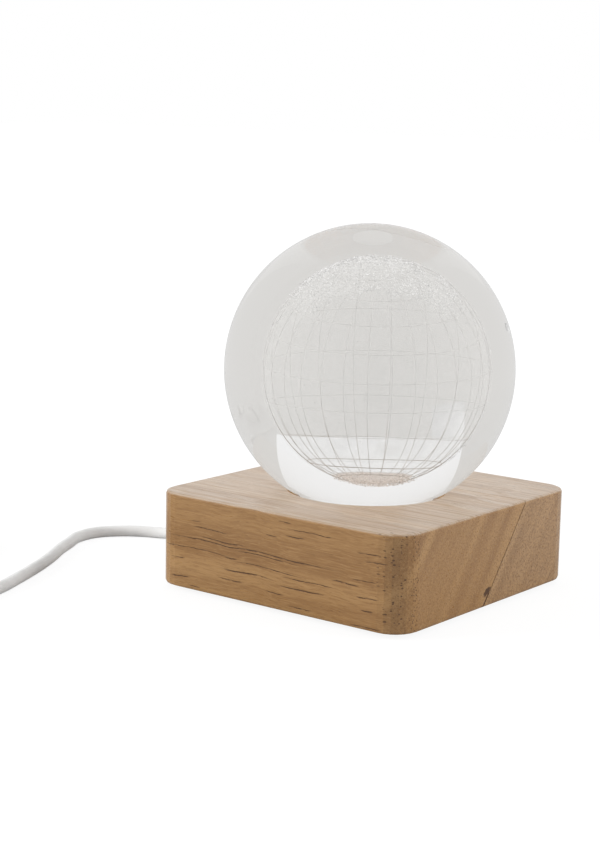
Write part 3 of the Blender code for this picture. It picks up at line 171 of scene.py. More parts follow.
# The wooden base, for the figure in its wood, in millimetres
BLOCK_HALF_MM = 41.5
BLOCK_LOW_MM = 1.2
BLOCK_HEIGHT_MM = 26.0
BLOCK_TOP_MM = BLOCK_LOW_MM + BLOCK_HEIGHT_MM
GLUE_TOP_MM = 17.0
GLUE_UNDER_MM = -3.2
GLUE_SLOPE = (GLUE_TOP_MM - GLUE_UNDER_MM) / BLOCK_HEIGHT_MM
CHIP_HEIGHT_MM = 4.2
CHIP_OFFSET_MM = 1.6
CHIP_HALF_MM = (1.6, 1.4)
CHIP_RAGGED = 1.1
CHIP_EDGE = (1.15, 1.65)
GLUE_GAP_MM = (0.35, 0.80)
GLUE_SEAM_MM = (0.10, 0.35)
GLUE_SEAM_SHARE = 0.6
WOOD_IOR = 1.52
# Painted sheen: the colour the top face is painted, standing in for the studio light's sheen on it
PAINTED_SHEEN_TOP = (0.60, 0.50, 0.40)
# Painted light: the studio's pale grey, painted on the top of the base where glass or gloss shows it
PAINTED_STUDIO_GREY = (0.60, 0.594, 0.573)
LACQUER = 0.20
LACQUER_ROUGHNESS = 0.22
SWAY_MM = 2.4
# How fast each pattern changes per millimetre, along X, Y and Z
SWAY_PATTERN = (0.05, 0.025, 0.025)
CLOUD_PATTERN = (0.02, 0.06, 0.06)
FIBRE_PATTERN = (0.022, 1.5, 1.5)
THREAD_PATTERN = (0.10, 5.0, 5.0)
DOT_PATTERN = (0.35, 1.5, 1.5)
DASH_PATTERN = (0.040, 0.70, 0.70)
CORNER_PATTERN = (0.55, 1.35, 1.35)
BREAKUP_PATTERN = (0.32, 0.8, 0.8)
# The two staves: how strong the growth bands are, and the speckle on the sides and at the end
MAIN_WOOD = {
    "tones": ((0.415, 0.238, 0.092), (0.335, 0.176, 0.058), (0.225, 0.106, 0.03)),
    "pore": (0.070, 0.028, 0.008),
    "bands": (0.0, 1.0),
    "speckle_pattern": (0.14, 1.9, 1.9),
    "speckle_shares": (0.48, 0.75),
}
SIDE_WOOD = {
    "tones": ((0.45, 0.27, 0.124), (0.335, 0.19, 0.077), (0.2, 0.1, 0.035)),
    "pore": (0.100, 0.048, 0.018),
    "bands": (0.2, 0.8),
    "speckle_pattern": (0.14, 1.5, 1.5),
    "speckle_shares": (0.80, 0.80),
}

# The studio: how bright it is to the camera, in reflections, through glass and as plain light
WHITE = (1, 1, 1, 1)
SEEN_WHITE = 1.0
GLOSS_WHITE = 0.79
GLASS_GREY = 0.69
GLASS_TINT = (1.0, 0.982, 0.953, 1)
FILL_LIGHT = 0.36
FLOOR_HALF_SIZE = 4.0
FLOOR_COLOUR = (0.66, 0.66, 0.66, 1)
SHADOW_REACH = (0.12, 0.45)
FLOOR_GLOW = 0.90
FLOOR_SHADOW = (0.13, 0.13, 0.13, 1)
LAMP_DISTANCE = 1.1
LAMP_SIZE = (0.5, 0.7)
LAMP_RISE = 0.45
LAMP_ANGLE = radians(83)
LEFT_LAMP_WATTS = 11.0
RIGHT_LAMP_WATTS = 8.4
TOP_LAMP_HEIGHT = 0.9
TOP_LAMP_WATTS = 1.5


# Faces that meet at more than this are shaded with a sharp edge between them
SHARP_EDGE = radians(35)


def new_object(name, data):
    made = bpy.data.objects.new(name, data)
    bpy.context.collection.objects.link(made)
    return made


def add_piece(name, data, look, body, smooth=True):
    """A piece of the lamp that shows this mesh or curve and moves with a body."""
    made = new_object(name, data)
    data.materials.append(look)
    if isinstance(data, bpy.types.Mesh) and smooth:
        data.shade_smooth()
        data.set_sharp_from_angle(angle=SHARP_EDGE)
    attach(made, body)
    return made


def mesh_from(bm, name):
    mesh = bpy.data.meshes.new(name)
    bm.to_mesh(mesh)
    bm.free()
    return mesh


def in_studio(sideways, away, height):
    """A place from the camera's own directions: to its right, away from it, and up."""
    right = Vector((cos(CAMERA_AZIMUTH), sin(CAMERA_AZIMUTH), 0))
    forward = Vector((-sin(CAMERA_AZIMUTH), cos(CAMERA_AZIMUTH), 0))
    return right * sideways + forward * away + Vector((0, 0, height))


def make_camera():
    right = in_studio(1, 0, 0)
    back = in_studio(0, -cos(CAMERA_ELEVATION), sin(CAMERA_ELEVATION))
    up = back.cross(right)
    rolled_right = cos(CAMERA_ROLL) * right + sin(CAMERA_ROLL) * up
    rolled_up = cos(CAMERA_ROLL) * up - sin(CAMERA_ROLL) * right
    camera = new_object("camera", bpy.data.cameras.new("camera"))
    place = Matrix((rolled_right, rolled_up, back)).transposed().to_4x4()
    place.translation = Vector(CAMERA_TARGET) + back * CAMERA_DISTANCE
    camera.matrix_world = place
    camera.data.sensor_width = SENSOR_MM
    camera.data.lens = FOCAL_PIXELS / IMAGE_HEIGHT_PIXELS * SENSOR_MM
    camera.data.clip_start = NEAREST_SEEN
    bpy.context.scene.camera = camera


def feed(tree, socket, value):
    """Gives a socket a value, or joins it to another node's output."""
    if isinstance(value, bpy.types.NodeSocket):
        tree.links.new(value, socket)
    else:
        socket.default_value = value


def add_node(tree, kind, inputs, output=0, **settings):
    """A new node with these inputs, of which one output is given back."""
    made = tree.nodes.new("ShaderNode" + kind)
    for name, value in settings.items():
        setattr(made, name, value)
    for key, value in inputs.items():
        feed(tree, made.inputs[key], value)
    return made.outputs[output]


class Look:
    """A material and short calls that add nodes to it. Places are in millimetres."""

    def __init__(self, name, colour, roughness, metallic=0.0):
        self.material = bpy.data.materials.new(name)
        self.material.use_nodes = True
        self.tree = self.material.node_tree
        self.shader = self.tree.nodes["Principled BSDF"]
        self.set("Base Color", (*colour, 1))
        self.set("Roughness", roughness)
        self.set("Metallic", metallic)
        source = self.node("TexCoord", {}, "Object")
        self.place = self.node("VectorMath", {0: source, "Scale": 1000}, operation="SCALE")

    def set(self, socket, value):
        feed(self.tree, self.shader.inputs[socket], value)

    def node(self, kind, inputs, output=0, **settings):
        return add_node(self.tree, kind, inputs, output, **settings)

    def math(self, operation, first, *others, clamp=False):
        """One operation over all the values, from the first to the last."""
        for other in others or (0.0,):
            first = self.node("Math", {0: first, 1: other}, operation=operation, use_clamp=clamp)
        return first

    def times(self, *values):
        return self.math("MULTIPLY", *values)

    def apart(self, first, second):
        """How far apart two values are."""
        return self.math("ABSOLUTE", self.math("SUBTRACT", first, second))

    def distance(self, x, y):
        """How far a place lies from the middle, x to one side and y to another."""
        return self.math("SQRT", self.math("ADD", self.math("POWER", x, 2.0), self.math("POWER", y, 2.0)))

    def stretched(self, pattern, place=None):
        """The place with each direction scaled, so that a pattern is drawn out along it."""
        source = self.place if place is None else place
        return self.node("VectorMath", {0: source, 1: pattern}, operation="MULTIPLY")

    def noise(self, place, scale=1.0, detail=2.0, roughness=0.5):
        inputs = {"Vector": place, "Scale": scale, "Detail": detail, "Roughness": roughness}
        return self.node("TexNoise", inputs, output="Fac")

    def smooth(self, value, start, end, low=0.0, high=1.0):
        """Goes smoothly from low to high while the value goes from start to end."""
        inputs = {"Value": value, 1: start, 2: end, 3: low, 4: high}
        return self.node("MapRange", inputs, interpolation_type="SMOOTHSTEP")

    def mixed(self, share, *colours):
        """A colour between two others."""
        first, second = (c if isinstance(c, bpy.types.NodeSocket) else (*c, 1) for c in colours)
        return self.node("Mix", {0: share, 6: first, 7: second}, 2, data_type="RGBA")

    def parts(self):
        """The place's X, Y and Z, in millimetres."""
        return self.node("SeparateXYZ", {0: self.place}).node.outputs

    def bump(self, height, strength, distance):
        """Raises the surface by this height, from 0 to 1, times a distance in metres."""
        inputs = {"Height": height, "Strength": strength, "Distance": distance}
        self.set("Normal", self.node("Bump", inputs))


def plastic(name, colour, roughness=0.42, grain=0.25):
    """Moulded plastic: a fine satin grain, with slightly uneven gloss and colour."""
    look = Look(name, colour, roughness)
    fine = look.noise(look.place, scale=1 / grain, detail=3)
    broad = look.noise(look.place, scale=0.12, detail=2)
    dark, pale = (tuple(min(1, c * share) for c in colour) for share in (0.94, 1.03))
    look.set("Base Color", look.mixed(look.smooth(broad, 0.35, 0.65), dark, pale))
    look.set("Roughness", look.smooth(fine, 0.3, 0.7, roughness - 0.05, roughness + 0.08))
    look.bump(fine, 0.25, 0.00003)
    return look.material


def metal(name, colour, roughness, stretch=(1, 1, 1)):
    """Metal with fine drawn lines and dull patches."""
    look = Look(name, colour, roughness, 1.0)
    lines = look.noise(look.stretched(stretch), scale=6, detail=4, roughness=0.7)
    cloud = look.noise(look.place, scale=0.7, detail=2)
    worn = tuple(c * 0.82 for c in colour)
    look.set("Base Color", look.mixed(look.smooth(cloud, 0.4, 0.7), colour, worn))
    look.set("Roughness", look.smooth(lines, 0.25, 0.75, roughness - 0.08, roughness + 0.12))
    look.bump(lines, 0.15, 0.00002)
    return look.material


def length_of(points):
    return sum((b - a).length for a, b in zip(points, points[1:]))


def smooth_curve(points, samples=24):
    """Many points along a smooth curve that passes through the given ones."""
    points = [Vector(point) for point in points]
    padded = [2 * points[0] - points[1], *points, 2 * points[-1] - points[-2]]
    dense = [points[0]]
    for a, b, c, d in zip(padded, padded[1:], padded[2:], padded[3:]):
        knots = [0.0]
        for first, second in ((a, b), (b, c), (c, d)):
            knots.append(knots[-1] + sqrt((second - first).length))
        k0, k1, k2, k3 = knots
        for i in range(1, samples + 1):
            t = k1 + (k2 - k1) * i / samples
            ab = a.lerp(b, (t - k0) / (k1 - k0))
            bc = b.lerp(c, (t - k1) / (k2 - k1))
            cd = c.lerp(d, (t - k2) / (k3 - k2))
            near = ab.lerp(bc, (t - k0) / (k2 - k0))
            far = bc.lerp(cd, (t - k1) / (k3 - k1))
            dense.append(near.lerp(far, (t - k1) / (k2 - k1)))
    return dense


def spaced(points, step):
    """Points at nearly this step along a dense line, both ends included."""
    total = length_of(points)
    count = max(2, round(total / step))
    wanted = [total * i / count for i in range(1, count)]
    picked, walked = [points[0]], 0.0
    for a, b in zip(points, points[1:]):
        span = (b - a).length
        while wanted and wanted[0] <= walked + span:
            picked.append(a.lerp(b, (wanted.pop(0) - walked) / span))
        walked += span
    return [*picked, points[-1]]


def new_curve(name, lines, radius, roundness, closed=False):
    """Round threads of this radius through each line's points."""
    curve = bpy.data.curves.new(name, "CURVE")
    curve.dimensions = "3D"
    curve.bevel_depth = radius
    curve.bevel_resolution = roundness
    for points in lines:
        spline = curve.splines.new("POLY")
        spline.points.add(len(points) - 1)
        for target, point in zip(spline.points, points):
            target.co = (*point, 1)
        spline.use_cyclic_u = closed
    return curve


def tube(name, points, radius, look, roundness=4):
    curve = new_curve(name, [points], radius, roundness)
    curve.use_fill_caps = True
    curve.splines[0].use_smooth = True
    return add_piece(name, curve, look, "lamp_base")


def coil_point(turns):
    """The coil's centreline: in on the lower layer, up in half a turn, and out again."""
    past = turns - COIL_INWARD_TURNS
    if past < 0:
        radius, climbed = COIL_OUTER_RADIUS - COIL_PITCH * turns, 0.0
    elif past < COIL_REVERSAL_TURNS:
        share = past / COIL_REVERSAL_TURNS
        dip = COIL_PITCH * COIL_REVERSAL_TURNS * share * (1 - share)
        radius = COIL_OUTER_RADIUS - COIL_PITCH * COIL_INWARD_TURNS - dip
        climbed = share * share * (3 - 2 * share)
    else:
        outward = past - COIL_REVERSAL_TURNS
        radius = COIL_OUTER_RADIUS - COIL_PITCH * (COIL_INWARD_TURNS - outward)
        climbed = 1.0
    angle = pi - 2 * pi * turns
    height = COIL_LOW_Z + (COIL_HIGH_Z - COIL_LOW_Z) * climbed
    x, y = COIL_CENTRE
    return Vector((x + radius * cos(angle), y + radius * sin(angle), height))


def make_cords(look):
    """The free lead from the base to the switch, and from the switch through the coil to the plug."""
    ahead = Vector((0, 2 * CORD_RADIUS, 0))
    along = Vector((1, 0, 0))
    exit_point = Vector(RELIEF_TIP) - along * TOUCH_GAP
    switch = Vector(SWITCH_PLACE)
    entry, grip = along * SWITCH_HALF, along * SWITCH_CAVITY_HALF
    lead = [exit_point, exit_point - along * 2 * CORD_RADIUS, *LEAD_ROUTE, switch + entry, switch + grip]
    turns = 2 * COIL_TURNS_IN_LAYER
    count = turns * COIL_POINTS_IN_TURN
    coil = [coil_point(turns * i / count) for i in range(count + 1)]
    run = [switch - grip, switch - entry, *RUN_ROUTE, coil[0] - 2 * ahead, coil[0] - ahead]
    plug = Vector((COIL_START_X, PLUG_BACK[0] - TOUCH_GAP, PLUG_BACK[1]))
    drop = [Vector((COIL_START_X, y, z)) for y, z in TAIL_ROUTE]
    tail = [coil[-1], coil[-1] + ahead, *drop, plug - ahead, plug]
    lead, run, tail = (spaced(smooth_curve(way), CORD_POINT_SPACING) for way in (lead, run, tail))
    first = tube("cord_to_switch", lead, CORD_RADIUS, look, roundness=6)
    second = tube("cord_to_plug", run + coil + tail[1:], CORD_RADIUS, look)
    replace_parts(first, "cord_lead")
    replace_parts(second, "cord_run", "cord_coil", "cord_tail")
    return first, second


def skin(bm, rows):
    """Faces between each row of points and the next."""
    for row, following in zip(rows, rows[1:]):
        for i in range(len(row) - 1):
            bm.faces.new((row[i], row[i + 1], following[i + 1], following[i]))


def make_tie(look):
    """The strap round the coil, with round edges and a loose tab."""
    half, half_thick = TIE_WIDTH / 2, TIE_THICKNESS / 2
    bulge = half**2 / (2 * COIL_INNER_RADIUS)
    inner = COIL_INNER_RADIUS - CORD_RADIUS - TOUCH_GAP - bulge - half_thick
    outer = COIL_OUTER_RADIUS + CORD_RADIUS + TOUCH_GAP + half_thick
    low, high = half_thick, COIL_HIGH_Z + CORD_RADIUS + TOUCH_GAP + half_thick
    outline = []
    corners = [(outer, high), (inner, high), (inner, low), (outer, low)]
    inward = [(-1, -1), (1, -1), (1, 1), (-1, 1)]
    for quarter, ((x, z), (sx, sz)) in enumerate(zip(corners, inward)):
        for i in range(TIE_CORNER_STEPS + 1):
            angle = (quarter + i / TIE_CORNER_STEPS) * pi / 2
            round_x, round_z = TIE_CORNER * (sx + cos(angle)), TIE_CORNER * (sz + sin(angle))
            outline.append((x + round_x, z + round_z))
    reaches = [TIE_TAB_LENGTH * i / TIE_TAB_STEPS for i in range(TIE_TAB_STEPS + 1)]
    height = low + (high - low) / 4
    tab = [(outer + reach, height - TIE_TAB_DROOP * reach) for reach in reaches]
    across = [TIE_WIDTH * i / TIE_WIDTH_STEPS - half for i in range(TIE_WIDTH_STEPS + 1)]
    middle_x, middle_y = COIL_CENTRE
    bm = bmesh.new()
    for line in (outline, tab):
        rows = [[bm.verts.new((middle_x + x, middle_y + y, z)) for y in across] for x, z in line]
        skin(bm, rows + rows[:1] if line is outline else rows)
    bmesh.ops.recalc_face_normals(bm, faces=bm.faces)
    strap = add_piece("coil_strap", mesh_from(bm, "coil_strap"), look, "lamp_base")
    solid = strap.modifiers.new("thickness", "SOLIDIFY")
    solid.thickness = TIE_THICKNESS * TIE_SHOWN_SHARE
    solid.offset = 0
    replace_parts(strap, "coil_tie")
    return strap


# Rough outlines of the continents, as longitude and latitude in degrees
AFRICA = (
    (-17, 21), (-16, 12), (-8, 4.5), (5, 5), (9, 3), (13, -6), (12, -17), (16, -29), (19, -34.5),
    (26, -34), (33, -27), (36, -20), (40, -15), (40, -5), (44, 2), (51, 11), (43, 12), (38, 20),
    (33, 29), (25, 32), (15, 31), (10, 37), (-5, 35.5), (-10, 31),
)
EURASIA = (
    (-9, 37), (-9, 43), (-2, 44), (-4, 48), (3, 51), (8, 54), (9, 57), (13, 54), (20, 55),
    (24, 60), (18, 61), (16, 57), (11, 59), (5, 60), (12, 67), (22, 71), (32, 70), (42, 67),
    (55, 69), (68, 69), (74, 73), (88, 75), (105, 78), (115, 74), (130, 72), (150, 71), (170, 69),
    (189, 66), (180, 63), (170, 60), (163, 58), (157, 51), (155, 58), (150, 60), (140, 55),
    (135, 53), (140, 48), (131, 43), (129, 36), (126, 35), (125, 40), (120, 38), (122, 31),
    (117, 24), (108, 21), (109, 12), (105, 9), (101, 13), (100, 5), (103, 1.5), (98, 8), (97, 17),
    (91, 22), (86, 20), (80, 15), (77, 8), (73, 18), (68, 24), (60, 25.5), (56, 27), (50, 30),
    (51, 24), (57, 22), (52, 16), (44, 12.5), (38, 22), (34, 29), (35, 36), (28, 37), (27, 40),
    (22, 37), (18, 43), (13, 45), (17, 40), (11, 43), (4, 43), (0, 40), (-5, 36),
)
NORTH_AMERICA = (
    (-168, 66), (-160, 70), (-140, 70), (-125, 70), (-110, 73), (-95, 73), (-85, 69), (-80, 63),
    (-93, 59), (-85, 55), (-79, 52), (-77, 62), (-66, 59), (-56, 52), (-66, 49), (-65, 44),
    (-71, 42), (-76, 37), (-81, 31), (-80, 25), (-84, 30), (-91, 29), (-97, 27), (-97, 20),
    (-90, 21), (-87, 16), (-83, 10), (-79, 9), (-85, 10), (-95, 16), (-105, 20), (-110, 24),
    (-114, 31), (-118, 34), (-124, 41), (-124, 48), (-132, 55), (-145, 60), (-155, 58), (-165, 61),
)
SOUTH_AMERICA = (
    (-79, 8), (-72, 12), (-62, 10), (-52, 5), (-50, 0), (-35, -6), (-39, -15), (-41, -22),
    (-48, -27), (-54, -35), (-62, -39), (-65, -45), (-69, -53), (-74, -50), (-73, -38),
    (-71, -30), (-71, -18), (-79, -7), (-81, -3), (-78, 2),
)
AUSTRALIA = (
    (114, -22), (122, -18), (130, -12), (136, -12), (140, -17), (142, -11), (146, -19),
    (153, -26), (150, -37), (144, -38.5), (138, -35), (131, -31.5), (124, -33), (115, -34),
)
GREENLAND = (
    (-73, 78), (-60, 82), (-30, 83), (-18, 80), (-20, 72), (-35, 66), (-44, 60), (-52, 65),
    (-55, 72),
)
ISLANDS = (
    ((-6, 50), (1, 51), (0, 54), (-3, 58), (-6, 57), (-4, 54)),
    ((-23, 64), (-14, 64), (-15, 66), (-22, 66)),
    ((44, -25), (47, -25), (50, -16), (49, -12), (44, -17)),
    ((95, 5), (104, -3), (106, -6), (101, -2)),
    ((109, 1), (113, 3), (118, 6), (117, 1), (115, -4), (110, -2)),
    ((131, -1), (141, -3), (150, -10), (144, -8), (138, -8)),
    ((131, 33), (135, 35), (140, 38), (142, 43), (144, 44), (141, 35), (135, 33)),
    ((167, -46), (174, -41), (178, -38), (174, -36), (172, -43)),
    ((-85, 22), (-77, 20), (-70, 19), (-75, 21)),
    ((-80, 73), (-62, 66), (-72, 64), (-88, 70)),
    ((-95, 76), (-70, 80), (-65, 83), (-90, 81)),
)
CONTINENTS = (AFRICA, EURASIA, NORTH_AMERICA, SOUTH_AMERICA, AUSTRALIA, GREENLAND, *ISLANDS)


def inside(outline, x, y):
    """Whether a point lies inside an outline."""
    hit = False
    for (ax, ay), (bx, by) in zip(outline, outline[1:] + outline[:1]):
        if (ay > y) != (by > y) and x < ax + (bx - ax) * (y - ay) / (by - ay):
            hit = not hit
    return hit


def is_land(longitude, latitude):
    """Whether there is land, or the ice whose edge wanders by a few degrees round each pole."""
    wobble = 2.5 * sin(radians(5 * longitude)) + 1.5 * sin(radians(11 * longitude + 40))
    if latitude < wobble - ICE_LATITUDE or latitude > ICE_LATITUDE + 2 * wobble:
        return True
    places = (longitude, longitude + 360)
    return any(inside(outline, x, latitude) for outline in CONTINENTS for x in places)


def on_globe(longitude, latitude, radius):
    a, b = radians(longitude), radians(latitude)
    return Vector((radius * cos(b) * cos(a), radius * cos(b) * sin(a), radius * sin(b)))


def globe_place(ball_centre):
    """Puts the globe beside the ball's centre, as the camera sees it, and turns it on its axis."""
    aside = in_studio(GLOBE_SIDE_SHIFT, 0, -GLOBE_DROP)
    return Matrix.Translation(ball_centre + aside) @ Matrix.Rotation(GLOBE_TURN, 4, "Z")


def make_grid(look, place):
    """The globe's meridians and parallels, engraved as thin lines in the glass."""
    reach = POLAR_CAP_LATITUDE
    meridian = [reach * (2 * i / GRID_LINE_POINTS - 1) for i in range(GRID_LINE_POINTS + 1)]
    parallel = [180 * i / GRID_LINE_POINTS for i in range(2 * GRID_LINE_POINTS)]
    longitudes = range(0, 360, MERIDIAN_DEGREES)
    latitudes = range(PARALLEL_DEGREES - 90, 90, PARALLEL_DEGREES)
    upright = [[place @ on_globe(x, y, GLOBE_RADIUS) for y in meridian] for x in longitudes]
    level = [[place @ on_globe(x, y, GLOBE_RADIUS) for x in parallel] for y in latitudes]
    meridians = new_curve("engraved_meridians", upright, MERIDIAN_LINE_RADIUS, roundness=1)
    parallels = new_curve("engraved_parallels", level, PARALLEL_LINE_RADIUS, roundness=1, closed=True)
    for latitude, ring in zip(latitudes, parallels.splines):
        if latitude < SOUTH_RING_LATITUDE:
            for point in ring.points:
                point.radius = SOUTH_RING_SCALE
    for curve in (meridians, parallels):
        made = add_piece(curve.name, curve, look, "crystal_ball")
        made.visible_shadow = False


def land_map():
    """For each whole degree of latitude and longitude, whether it is land."""
    return [[is_land(x - 179.5, y - 89.5) for x in range(360)] for y in range(180)]


def frost_share(latitude):
    """How much of the land's frosting is left at a latitude: all of it in the far north and south."""
    low, high = FROST_LATITUDES
    share = min(1, max(0, (abs(latitude) - low) / (high - low)))
    return LOW_LAND_SHARE + (1 - LOW_LAND_SHARE) * share * share * (3 - 2 * share)


def make_flakes(look, place, land):
    """The continents: thousands of tiny cracks in the glass, each a small tilted flake.

    Each lies a golden angle further round the globe than the last, scattered a little.
    """
    chance = Random(FLAKE_SEED)
    verts, faces = [], []
    golden = pi * (3 - sqrt(5))
    for i in range(FLAKE_COUNT):
        height = 1 - 2 * (i + 0.5) / FLAKE_COUNT
        latitude = degrees(asin(height)) + chance.gauss(0, FLAKE_SCATTER_DEGREES)
        longitude = (degrees(golden * i) + chance.gauss(0, FLAKE_SCATTER_DEGREES)) % 360 - 180
        if abs(latitude) >= 90 or not land[int(latitude + 90)][int(longitude + 180) % 360]:
            continue
        if chance.random() > frost_share(latitude):
            continue
        depth = FLAKE_DEPTH * (chance.random() - 0.5)
        centre = on_globe(longitude, latitude, GLOBE_RADIUS - depth)
        tilt = Vector([chance.gauss(0, 1) for _ in range(3)]).normalized()
        first = tilt.orthogonal().normalized() * FLAKE_SIZE / 2
        second = tilt.cross(first)
        start = len(verts)
        corners = (first, second * chance.uniform(0.5, 1), -first, -second * chance.uniform(0.5, 1))
        verts += [place @ (centre + corner) for corner in corners]
        faces.append((start, start + 1, start + 2, start + 3))
    mesh = bpy.data.meshes.new("engraved_land")
    mesh.from_pydata(verts, [], faces)
    flakes = add_piece("engraved_land", mesh, look, "crystal_ball", smooth=False)
    flakes.visible_shadow = False
    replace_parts(flakes, "engraved_globe")


def frost_at(land, longitude, latitude):
    """The share of land round a place on the globe, softened at the coasts."""
    reach = range(-FROST_SPREAD_DEGREES, FROST_SPREAD_DEGREES + 1)
    rows = [land[min(179, max(0, latitude + up))] for up in reach]
    found = [row[(longitude + aside) % 360] for row in rows for aside in reach]
    return sum(found) / len(found) * frost_share(latitude - 90)


def make_veil(look, place, land):
    """The finest cracks, too small to model one by one: two thin sheets of haze, denser on land."""
    bm = bmesh.new()
    frost = bm.verts.layers.float.new("frost")
    inner, outer = GLOBE_RADIUS - VEIL_HALF_DEPTH, GLOBE_RADIUS + VEIL_HALF_DEPTH
    for lowest, radius in ((-90, inner), (OUTER_VEIL_FROM, outer)):
        rows = []
        for latitude in range(lowest + 90, 181, VEIL_DEGREES):
            row = []
            for longitude in range(0, 360, VEIL_DEGREES):
                spot = on_globe(longitude - 180, latitude - 90, radius)
                row.append(bm.verts.new(place @ spot))
                row[-1][frost] = frost_at(land, longitude, latitude)
            rows.append([*row, row[0]])
        skin(bm, rows)
    bmesh.ops.remove_doubles(bm, verts=bm.verts, dist=SAME_POINT)
    veil = add_piece("engraved_veil", mesh_from(bm, "engraved_veil"), look, "crystal_ball")
    veil.visible_shadow = False


def make_ball(glass, lines, cracks, haze):
    """The clear ball, which lets the lamps' light through to the wood, with the globe inside it."""
    low, high = (Vector(corner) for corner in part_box("crystal_ball"))
    centre = (low + high) / 2
    centre.z = high.z - BALL_RADIUS
    bm = bmesh.new()
    shape = {"u_segments": BALL_SEGMENTS, "v_segments": BALL_RINGS, "radius": BALL_RADIUS}
    bmesh.ops.create_uvsphere(bm, matrix=Matrix.Translation(centre), **shape)
    ball = add_piece("glass_ball", mesh_from(bm, "glass_ball"), glass, "crystal_ball")
    ball.visible_shadow = False
    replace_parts(ball, "crystal_ball")
    place = globe_place(centre)
    make_grid(lines, place)
    land = land_map()
    make_flakes(cracks, place, land)
    make_veil(haze, place, land)


def crystal_look():
    """Clear optical glass, with the faintest unevenness in its polish."""
    look = Look("clear_crystal", (1, 1, 1), 0.0)
    look.set("Transmission Weight", 1.0)
    look.set("IOR", GLASS_IOR)
    cloud = look.noise(look.place, scale=0.08, detail=2)
    look.set("Roughness", look.smooth(cloud, 0.4, 0.7, 0.0, 0.006))
    look.bump(look.noise(look.place, scale=0.05, detail=1), 0.02, 0.00001)
    return look.material


def line_look():
    """Engraved lines: pale grey and slightly uneven, and low down a darker brown that is painted shade and
    the wood's brown light from below.
    """
    look = Look("engraved_lines", PALE_LINE[0], 0.9)
    grain = look.noise(look.place, scale=2.2, detail=2)
    uneven = look.smooth(grain, 0.35, 0.65)
    low = look.smooth(look.parts()[2], *BROWN_LINE_MM)
    look.set("Base Color", look.mixed(low, look.mixed(uneven, *PALE_LINE), look.mixed(uneven, *BROWN_LINE)))
    look.bump(grain, 0.3, 0.00003)
    look.set("Roughness", look.smooth(grain, 0.3, 0.7, 0.75, 0.95))
    return look.material


def crack_look(name, glow, dull, bright):
    """Cracks that scatter light: bright and dull ones mixed, and a browner sheet at the south pole, whose
    dim brown is painted shade and the wood's light from below.
    """
    look = Look(name, (0.7, 0.7, 0.7), 0.7)
    grain = look.noise(look.place, scale=1.6, detail=3, roughness=0.7)
    cloud = look.noise(look.place, scale=0.22, detail=2)
    tone = look.mixed(look.smooth(grain, 0.40, 0.62), dull, bright)
    middle = tuple((a + b) / 2 for a, b in zip(dull, bright))
    tone = look.mixed(look.smooth(cloud, 0.35, 0.65, 0.0, 0.6), tone, middle)
    polar = look.smooth(look.parts()[2], *POLAR_SHEET_MM)
    look.set("Base Color", look.mixed(polar, tone, POLAR_SHEET_PAINTED_TONE))
    # Painted light: the cracks glow, though nothing in the ball is a lamp
    look.set("Emission Color", look.mixed(polar, PAINTED_GLOW_TINT, POLAR_SHEET_PAINTED_GLOW))
    look.set("Emission Strength", glow)
    look.set("Roughness", look.smooth(grain, 0.3, 0.7, 0.5, 0.8))
    look.bump(grain, 0.3, 0.00005)
    return look, cloud, polar


def veil_look():
    """The same cracks, so fine that the glass shows between them: faint on the seas, dense on land."""
    look, cloud, polar = crack_look("engraved_haze", VEIL_PAINTED_GLOW, DULL_HAZE, BRIGHT_HAZE)
    frost = look.node("Attribute", {}, output="Fac", attribute_name="frost")
    fine = look.noise(look.place, scale=3.2, detail=3, roughness=0.75)
    speckled = look.times(look.smooth(fine, 0.38, 0.64, 0.25, 1.6), frost)
    patchy = look.smooth(cloud, 0.35, 0.65, *SEA_HAZE)
    clear = look.smooth(look.parts()[2], *LOW_HAZE_MM, LOW_HAZE_SHARE, 1.0)
    share = look.math("ADD", look.times(speckled, LAND_HAZE), patchy)
    sheet = look.times(polar, POLAR_SHEET_SHARE)
    look.set("Alpha", look.math("MAXIMUM", look.times(share, clear), sheet))
    return look.material


# Long dark pores on the front of the base: middle X, height, length and thickness, in millimetres
FRONT_STREAKS_MM = (
    (-8, 14.4, 66, 0.3), (-17, 15.3, 18, 0.25), (-2, 13.6, 24, 0.22), (-27, 11.6, 30, 0.2),
    (-2, 10.6, 26, 0.2), (-21.5, 17.9, 14, 0.24), (13, 22.8, 18, 0.2), (7.5, 20.9, 7, 0.28),
    (31, 20.5, 8, 0.28), (33.5, 18.5, 7.5, 0.26), (-9, 7.9, 20, 0.32), (-14, 5.2, 10, 0.28),
    (10, 7, 18, 0.32), (12, 9.6, 20, 0.24), (-32, 3.2, 8, 0.26), (9.5, 1.9, 9, 0.26),
    (31, 5.6, 4.5, 0.3), (30.5, 1.2, 11, 0.24), (-14, 11.3, 5, 0.24), (4, 24.4, 5, 0.22),
    (24, 11.8, 10, 0.26), (30, 13.4, 9, 0.22), (31, 9, 8, 0.26), (-33, 8.3, 6, 0.24),
    (1, 4.6, 7, 0.22),
)


def near_front(look, y, start, end):
    """Goes from 0 to 1 between two distances behind the front face."""
    return look.smooth(y, start - BLOCK_HALF_MM, end - BLOCK_HALF_MM)


def near_end(look, x, start, end):
    """Goes from 0 to 1 between two distances from the end grain's face."""
    return look.smooth(x, BLOCK_HALF_MM - start, BLOCK_HALF_MM - end)


def near_top(look, z, start, end, low=0.0, high=1.0):
    """Goes from low to high between two distances under the top."""
    return look.smooth(z, BLOCK_TOP_MM - start, BLOCK_TOP_MM - end, low, high)


